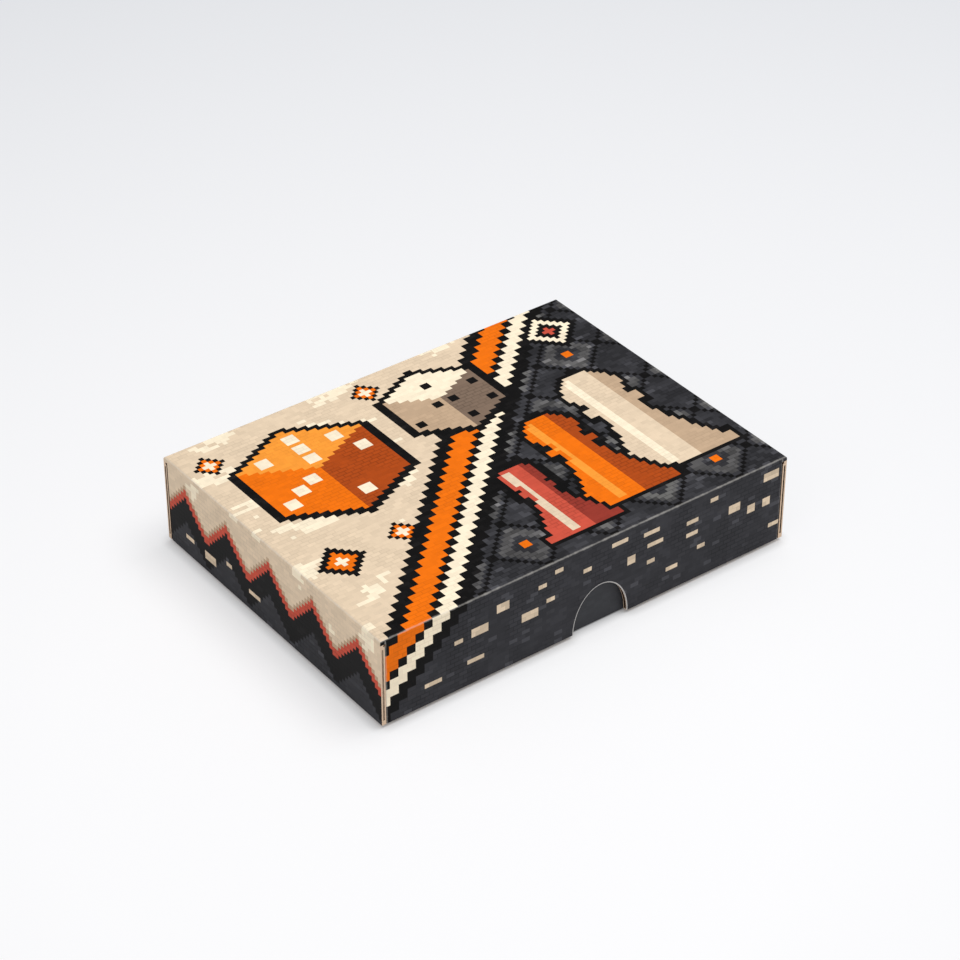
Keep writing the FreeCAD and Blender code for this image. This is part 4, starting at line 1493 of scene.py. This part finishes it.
def fold_point(way, back_share):
    """A place on the cover: way goes from -1 at the lower free edge to 1 at the upper one."""
    y = RULES_LOW.y + back_share * sheet_length
    out = max(abs(way) - (1 - FLAT_SHARE), 0) / FLAT_SHARE
    if out > 0:
        x = RULES_LOW.x + spine_round + out * sheet_width
        z = spine_middle + math.copysign(spine_round, way)
        return x, y, z + (corner_lift(out, back_share) if way > 0 else 0)
    turn = way / (1 - FLAT_SHARE) * math.pi / 2
    x = RULES_LOW.x + spine_round * (1 - math.cos(turn))
    return x, y, spine_middle + spine_round * math.sin(turn)


def paper_sheet(name, steps, thickness, offset, place):
    """A grid whose points are put where the given function says, as a sheet of some thickness."""
    bpy.ops.mesh.primitive_grid_add(x_subdivisions=steps[0], y_subdivisions=steps[1], size=2)
    piece = bpy.context.object
    piece.name = name
    for point in piece.data.vertices:
        point.co = place(point.co.x, (point.co.y + 1) / 2)
    apply(piece, "SOLIDIFY", thickness=thickness, offset=offset)
    return piece


cover = paper_sheet("rules_booklet_cover", COVER_GRID, COVER, -1.0, fold_point)
print("cover with", len(cover.data.vertices), "points")

# %% Booklet pages
LEAVES = 6
LEAF = 0.1 * MM
LEAF_GRID = (16, 8)
LEAF_INSET = 0.2 * MM
LEAF_SHORT = 0.6 * MM
LEAF_STEP = 0.1 * MM
LEAF_LIFT = 0.8
room = RULES_HIGH.z - RULES_LOW.z - 2 * COVER


def leaf_place(k):
    """The function that puts one leaf's points in place, each leaf shorter than the one below."""
    share = (k + 0.5) / LEAVES
    width = sheet_width + spine_round - LEAF_SHORT - LEAF_STEP * k

    def leaf_point(way, back_share):
        out = (way + 1) / 2
        x = RULES_LOW.x + COVER + LEAF + out * width
        y = RULES_LOW.y + LEAF_INSET + back_share * (sheet_length - 2 * LEAF_INSET)
        z = RULES_LOW.z + COVER + share * room + corner_lift(out, back_share) * LEAF_LIFT * share
        return x, y, z

    return leaf_point


leaves = []
for k in range(LEAVES):
    leaves.append(paper_sheet(f"leaf_{k}", LEAF_GRID, LEAF, 0.0, leaf_place(k)))
pages = joined(leaves, "rules_booklet_pages")
print("booklet of", LEAVES, "leaves")

# %% [markdown]
# The pages are plain paper with a faint felt of fibres. The cover is coated, and printed with a frame,
# a dark band and one large lozenge with pips. All of that is distances in the shader, so it stays
# sharp from close by and needs no image.

# %% Booklet finishes
SLATE_INK = linear(54, 54, 57)
CORAL_INK = INKS["coral"]
CREAM_INK = linear(252, 238, 210)
# places and widths in millimetres, measured from the cover's middle or in from its edge
COVER_BAND = (-34.0, 18.0)
COVER_STRIPE = (-22.5, 2.0)
COVER_FRAME = (3.0, 0.8)
EMBLEM_UP = 8.0
EMBLEM_OUTER = 27.0
EMBLEM_INNER = 24.5
EMBLEM_STEP = 11.0
EMBLEM_PIP = 3.4


def page_paper(name):
    finish = Finish(name)
    fibre = finish.noise(0.4, detail=5.0)
    cloud = finish.noise(12.0)
    amount = 0.93 + 0.07 * fibre + 0.05 * cloud
    finish.set(
        Base_Color=finish.shade(linear(246, 241, 229), amount),
        Roughness=0.8,
        Specular_IOR_Level=0.2,
        Normal=finish.bump(fibre, 0.02),
    )
    return finish.material


def rules_print(name):
    """A cover with a frame, a dark band and one large lozenge with pips."""
    finish = Finish(name)
    half = (RULES_HIGH - RULES_LOW) / 2 / MM
    x, y = finish.xyz((RULES_LOW + RULES_HIGH) / 2)[:2]
    fibre = finish.noise(0.4, detail=5.0)
    inside = frame_edge(x, y, half.x, half.y)
    emblem = abs(x) + abs(y - EMBLEM_UP)
    coloured = finish.shade(linear(232, 211, 182), 0.94 + 0.1 * fibre)
    coloured = finish.mix(y.line(*COVER_BAND), coloured, SLATE_INK)
    coloured = finish.mix(y.line(*COVER_STRIPE), coloured, CORAL_INK)
    coloured = finish.mix(emblem < EMBLEM_OUTER, coloured, linear(38, 37, 37))
    coloured = finish.mix(emblem < EMBLEM_INNER, coloured, ORANGE_INK)
    for across_pip, up_pip in ((0, 0), (-1, 0), (1, 0), (0, -1), (0, 1)):
        away = abs(x - across_pip * EMBLEM_STEP) + abs(y - EMBLEM_UP - up_pip * EMBLEM_STEP)
        coloured = finish.mix(away < EMBLEM_PIP, coloured, CREAM_INK)
    coloured = finish.mix(inside.line(*COVER_FRAME), coloured, SLATE_INK)
    finish.set(
        Base_Color=finish.shade(coloured, 0.96 + 0.06 * fibre),
        Roughness=0.42 + 0.12 * fibre,
        Specular_IOR_Level=0.3,
        Normal=finish.bump(fibre, 0.015),
    )
    return finish.material


cover.data.materials.append(rules_print("rules_print"))
smoothed(cover)
stand_for(cover, "base", "rules_print", "rules_cover")
pages.data.materials.append(page_paper("page_paper"))
smoothed(pages)
stand_for(pages, "base", "page_paper", "rules_pages")

# %% [markdown]
# ## Cards
#
# The two packs keep their CAD shape, five rounded cards each in a paper band. Only their upper
# faces are printed, so the finish asks which way a face looks: the back's pattern where it looks
# up, bare white card with the layers' fine lines at the sides.

# %% Card backs
# in millimetres
CARD = 0.32
CARD_STEP = 7.0
CARD_BORDER = 3.6
CARD_FIELD = 5.0
# shares of a lozenge
CARD_RING = (0.95, 0.16)
CARD_DOT = 0.3


def card_back(name, node, ground, accent):
    low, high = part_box(node)
    finish = Finish(name)
    half = (high - low) / 2 / MM
    x, y, z = finish.xyz((low + high) / 2)
    fine = finish.noise(0.3, detail=4.0)
    inside = frame_edge(x, y, half.x, half.y)
    rings = lattice(x, y, CARD_STEP)
    field = inside > CARD_FIELD
    back_colour = finish.shade(ground, 0.92 + 0.14 * fine)
    back_colour = finish.mix(rings.line(*CARD_RING) * field, back_colour, accent)
    back_colour = finish.mix((rings < CARD_DOT) * field, back_colour, CREAM_INK)
    back_colour = finish.mix(inside < CARD_BORDER, back_colour, linear(249, 243, 230))
    layers = abs(z % CARD - CARD / 2).fade(0.1, CARD / 2)
    side_colour = finish.shade(linear(244, 238, 226), 1 - 0.4 * layers)
    finish.set(
        Base_Color=finish.mix(finish.facing(2) > MOSTLY, side_colour, back_colour),
        Roughness=0.3 + 0.1 * fine,
        Specular_IOR_Level=0.4,
        Normal=finish.bump(fine, 0.015),
    )
    return finish.material


dress(card_back("card_back_orange", "card_deck_lower", ORANGE_INK, SLATE_INK), "card_deck_lower")
dress(card_back("card_back_dark", "card_deck_upper", SLATE_INK, ORANGE_INK), "card_deck_upper")

# %% [markdown]
# A white paper band holds each pack together. Its stripes run round it, so each is only a distance
# from the band's middle, and both bands share one finish because they lie one above the other.

# %% Paper bands
# places from the band's middle and widths, in millimetres
BAND_STRIPE = (7.2, 1.2)
BAND_HAIRLINE = (5.4, 0.5)


def band_paper(name, node):
    low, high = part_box(node)
    finish = Finish(name)
    x = finish.xyz((low + high) / 2)[0]
    fibre = finish.noise(0.5, detail=5.0)
    ground = finish.shade(linear(244, 234, 214), 0.92 + 0.12 * fibre)
    striped = finish.mix(abs(x).line(*BAND_STRIPE), ground, CORAL_INK)
    striped = finish.mix(abs(x).line(*BAND_HAIRLINE), striped, SLATE_INK)
    finish.set(
        Base_Color=striped,
        Roughness=0.7 + 0.1 * fibre,
        Specular_IOR_Level=0.25,
        Normal=finish.bump(fibre, 0.03),
    )
    return finish.material


dress(band_paper("band_paper", "card_band_upper"), "card_band_lower", "card_band_upper")

# %% [markdown]
# ## Wooden cars
#
# Each car is sawn from one strip of wood, tumbled until its edges are round, and stained. One shape
# is rounded with a bevel on all its sharp edges, and each car is a copy of it with its own mesh. The
# stain sinks into the grain, which runs along the car.

# %% Cars
CAR_EDGE = 0.45 * MM
STAINS = {
    "wood_orange": linear(240, 118, 22),
    "wood_red": linear(196, 66, 50),
    "wood_cream": linear(246, 230, 198),
    "wood_dark": linear(58, 57, 59),
    "wood_grey": linear(132, 131, 130),
    "wood_plain": linear(206, 168, 120),
}


def stained_wood(name, stain):
    finish = Finish(name)
    grain = finish.noise(0.5, (14, 1, 1), detail=5.0)
    bands = finish.noise(2.4, (9, 1, 1))
    pores = finish.noise(0.25, (10, 1, 1), detail=0.0).fade(0.62, 0.7)
    amount = 0.78 + 0.22 * grain + 0.24 * bands - 0.16 * pores
    finish.set(
        Base_Color=finish.shade(stain, amount),
        Roughness=0.42 + 0.2 * grain,
        Specular_IOR_Level=0.35,
        Coat_Weight=0.12,
        Coat_Roughness=0.3,
        Normal=finish.bump(grain - pores, 0.05),
    )
    return finish.material


first_car = soft_copy("car_pawn_1", "car_pawn_shape", CAR_EDGE)
first_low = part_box("car_pawn_1")[0]
for number, (slot, stain) in enumerate(STAINS.items(), start=1):
    node = f"car_pawn_{number}"
    car = copy_of(first_car, f"wooden_car_{number}")
    settle(car, Matrix.Translation(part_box(node)[0] - first_low))
    car.data.materials.append(stained_wood(slot, stain))
    stand_for(car, "base", slot, node)
bpy.data.objects.remove(first_car)

# %% [markdown]
# ## Dice
#
# A die is a cube with well rounded edges and drilled pips filled with paint. The cube is bevelled,
# and small balls are subtracted where the pips sit. The balls carry the second material, so the
# hollows keep it. Opposite faces add up to seven.

# %% One die
DIE_SIZE = 16.0 * MM
DIE_EDGE = 1.7 * MM
PIP_STEP = 4.2 * MM
PIP_DEPTH = 0.55 * MM
PIP_BALL = 1.95 * MM
BALL_SEGMENTS, BALL_RINGS = 24, 16
DIE_FACES = {
    1: ((0, 0, 1), (1, 0, 0), (0, 1, 0)),
    6: ((0, 0, -1), (1, 0, 0), (0, 1, 0)),
    2: ((0, -1, 0), (1, 0, 0), (0, 0, 1)),
    5: ((0, 1, 0), (1, 0, 0), (0, 0, 1)),
    3: ((1, 0, 0), (0, 1, 0), (0, 0, 1)),
    4: ((-1, 0, 0), (0, 1, 0), (0, 0, 1)),
}

bpy.ops.object.select_all(action="DESELECT")
bpy.ops.mesh.primitive_cube_add(size=DIE_SIZE)
die = bpy.context.object
bpy.ops.object.mode_set(mode="EDIT")
bpy.ops.mesh.select_all(action="SELECT")
bpy.ops.mesh.bevel(offset=DIE_EDGE, segments=6, affect="EDGES")
done()
balls = []
for value, axes in DIE_FACES.items():
    normal, first, second = (Vector(axis) for axis in axes)
    for step_one, step_two in PIPS[value]:
        centre = normal * (DIE_SIZE / 2 + PIP_BALL - PIP_DEPTH) + first * step_one * PIP_STEP
        centre += second * step_two * PIP_STEP
        bpy.ops.mesh.primitive_uv_sphere_add(
            segments=BALL_SEGMENTS, ring_count=BALL_RINGS, radius=PIP_BALL, location=centre
        )
        balls.append(bpy.context.object)
cutter = joined(balls, "pip_cutter")
settle(cutter, cutter.matrix_world)
print("die with", len(balls), "pips to cut")


# %% Dice finishes
def cast_resin(name, colour, swirl):
    finish = Finish(name)
    stirred = finish.noise(4.0, (1, 1, 2.5), detail=5.0)
    fine = finish.noise(0.6, detail=3.0)
    blended = finish.mix(stirred.fade(0.35, 0.7), colour, swirl)
    finish.set(
        Base_Color=finish.shade(blended, 0.95 + 0.08 * fine),
        Roughness=0.16 + 0.1 * fine,
        Specular_IOR_Level=0.5,
        Normal=finish.bump(stirred, 0.02),
    )
    return finish.material


def pip_paint(name, colour):
    finish = Finish(name)
    streaks = finish.noise(0.5, detail=4.0)
    finish.set(
        Base_Color=finish.shade(colour, 0.88 + 0.2 * streaks),
        Roughness=0.5 + 0.2 * streaks,
        Normal=finish.bump(streaks, 0.03),
    )
    return finish.material


print("finishes for dice: resin and pip paint")

# %% Two dice
DICE = {
    "die_light": (linear(244, 228, 198), linear(252, 240, 214), linear(46, 45, 46)),
    "die_dark": (linear(48, 48, 51), linear(64, 63, 66), linear(246, 128, 24)),
}

bare = Finish("pip_place").material
for piece in (die, cutter):
    for k in range(2):
        piece.data.materials.append(bare)
for face in cutter.data.polygons:
    face.material_index = 1
apply(die, "BOOLEAN", operation="DIFFERENCE", object=cutter, solver="EXACT")
bpy.data.objects.remove(cutter)
smoothed(die)
for node, (colour, swirl, paint) in DICE.items():
    low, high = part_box(node)
    piece = copy_of(die, f"{node}_cast")
    settle(piece, Matrix.Translation((low + high) / 2))
    piece.data.materials.clear()
    piece.data.materials.append(cast_resin(node, colour, swirl))
    piece.data.materials.append(pip_paint(f"{node}_pips", paint))
    stand_for(piece, "base", node, node)
bpy.data.objects.remove(die)

# %% [markdown]
# ## Tokens
#
# The tokens are punched from thick printed card: six-sided chips with slightly rounded corners. One
# chip is a six-sided cylinder with its upright edges bevelled and its rims softened. The stacks are
# copies, each turned a little, as a hand leaves them.

# %% One chip
CHIP_SIDES = 6
CHIP_TURN = 30
CHIP_CORNER = 1.0 * MM
CHIP_RIM = 0.15 * MM
RIM_ANGLE = math.radians(60)
# how far each chip of a stack is turned, in degrees
TURNS = (2.0, -3.0, 1.5, -2.0, 0.0)
TOKEN_LOW, TOKEN_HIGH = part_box("token_stack_1")
chip_thickness = (TOKEN_HIGH.z - TOKEN_LOW.z) / len(TURNS)
chip_radius = (TOKEN_HIGH.x - TOKEN_LOW.x) / 2

bpy.ops.mesh.primitive_cylinder_add(vertices=CHIP_SIDES, radius=chip_radius, depth=chip_thickness)
chip = bpy.context.object
settle(chip, Matrix.Rotation(math.radians(CHIP_TURN), 4, "Z"))
pick_edges(chip, lambda first, second: abs(first.z - second.z) > CLOSE)
bpy.ops.mesh.bevel(offset=CHIP_CORNER, segments=4, affect="EDGES")
done()
apply(chip, "BEVEL", width=CHIP_RIM, segments=2, limit_method="ANGLE", angle_limit=RIM_ANGLE)
smoothed(chip)
print("chip of", len(chip.data.polygons), "faces")

# %% Two stacks of chips
# distances from the chip's middle and widths, in millimetres
TOKEN_RING = (5.6, 0.9)
TOKEN_DOT = 2.4
# how far a face has to look up or down to be printed
FACE_ON = 0.6


def token_print(name, middle, ground, ring):
    """A printed face with a six-sided ring, and bare layered card at the sides."""
    finish = Finish(name)
    x, y = finish.xyz(middle)[:2]
    fine = finish.noise(0.4, detail=4.0)
    away = None
    for k in range(CHIP_SIDES // 2):
        turn = math.radians(CHIP_TURN * (1 + 2 * k))
        off = abs(x * math.cos(turn) + y * math.sin(turn))
        away = off if away is None else away.most(off)
    face_colour = finish.shade(ground, 0.92 + 0.14 * fine)
    face_colour = finish.mix(away.line(*TOKEN_RING), face_colour, ring)
    face_colour = finish.mix(away < TOKEN_DOT, face_colour, ring)
    layers = finish.noise(0.3, (20, 20, 1), detail=3.0)
    side_colour = finish.shade(linear(178, 164, 146), 0.75 + 0.5 * layers)
    finish.set(
        Base_Color=finish.mix(abs(finish.facing(2)) > FACE_ON, side_colour, face_colour),
        Roughness=0.5 + 0.2 * fine,
        Specular_IOR_Level=0.3,
        Normal=finish.bump(fine, 0.03),
    )
    return finish.material


for number, ground in enumerate((ORANGE_INK, CORAL_INK), start=1):
    node = f"token_stack_{number}"
    low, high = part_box(node)
    middle = (low + high) / 2
    stack = []
    for k, turn in enumerate(TURNS):
        copy = copy_of(chip, f"chip_{k}")
        place = Vector((middle.x, middle.y, low.z + (k + 0.5) * chip_thickness))
        settle(copy, Matrix.Translation(place) @ Matrix.Rotation(math.radians(turn), 4, "Z"))
        stack.append(copy)
    chips = joined(stack, f"token_chips_{number}")
    chips.data.materials.append(token_print(f"token_card_{number}", middle, ground, CREAM_INK))
    stand_for(chips, "base", "token_card", node)
bpy.data.objects.remove(chip)
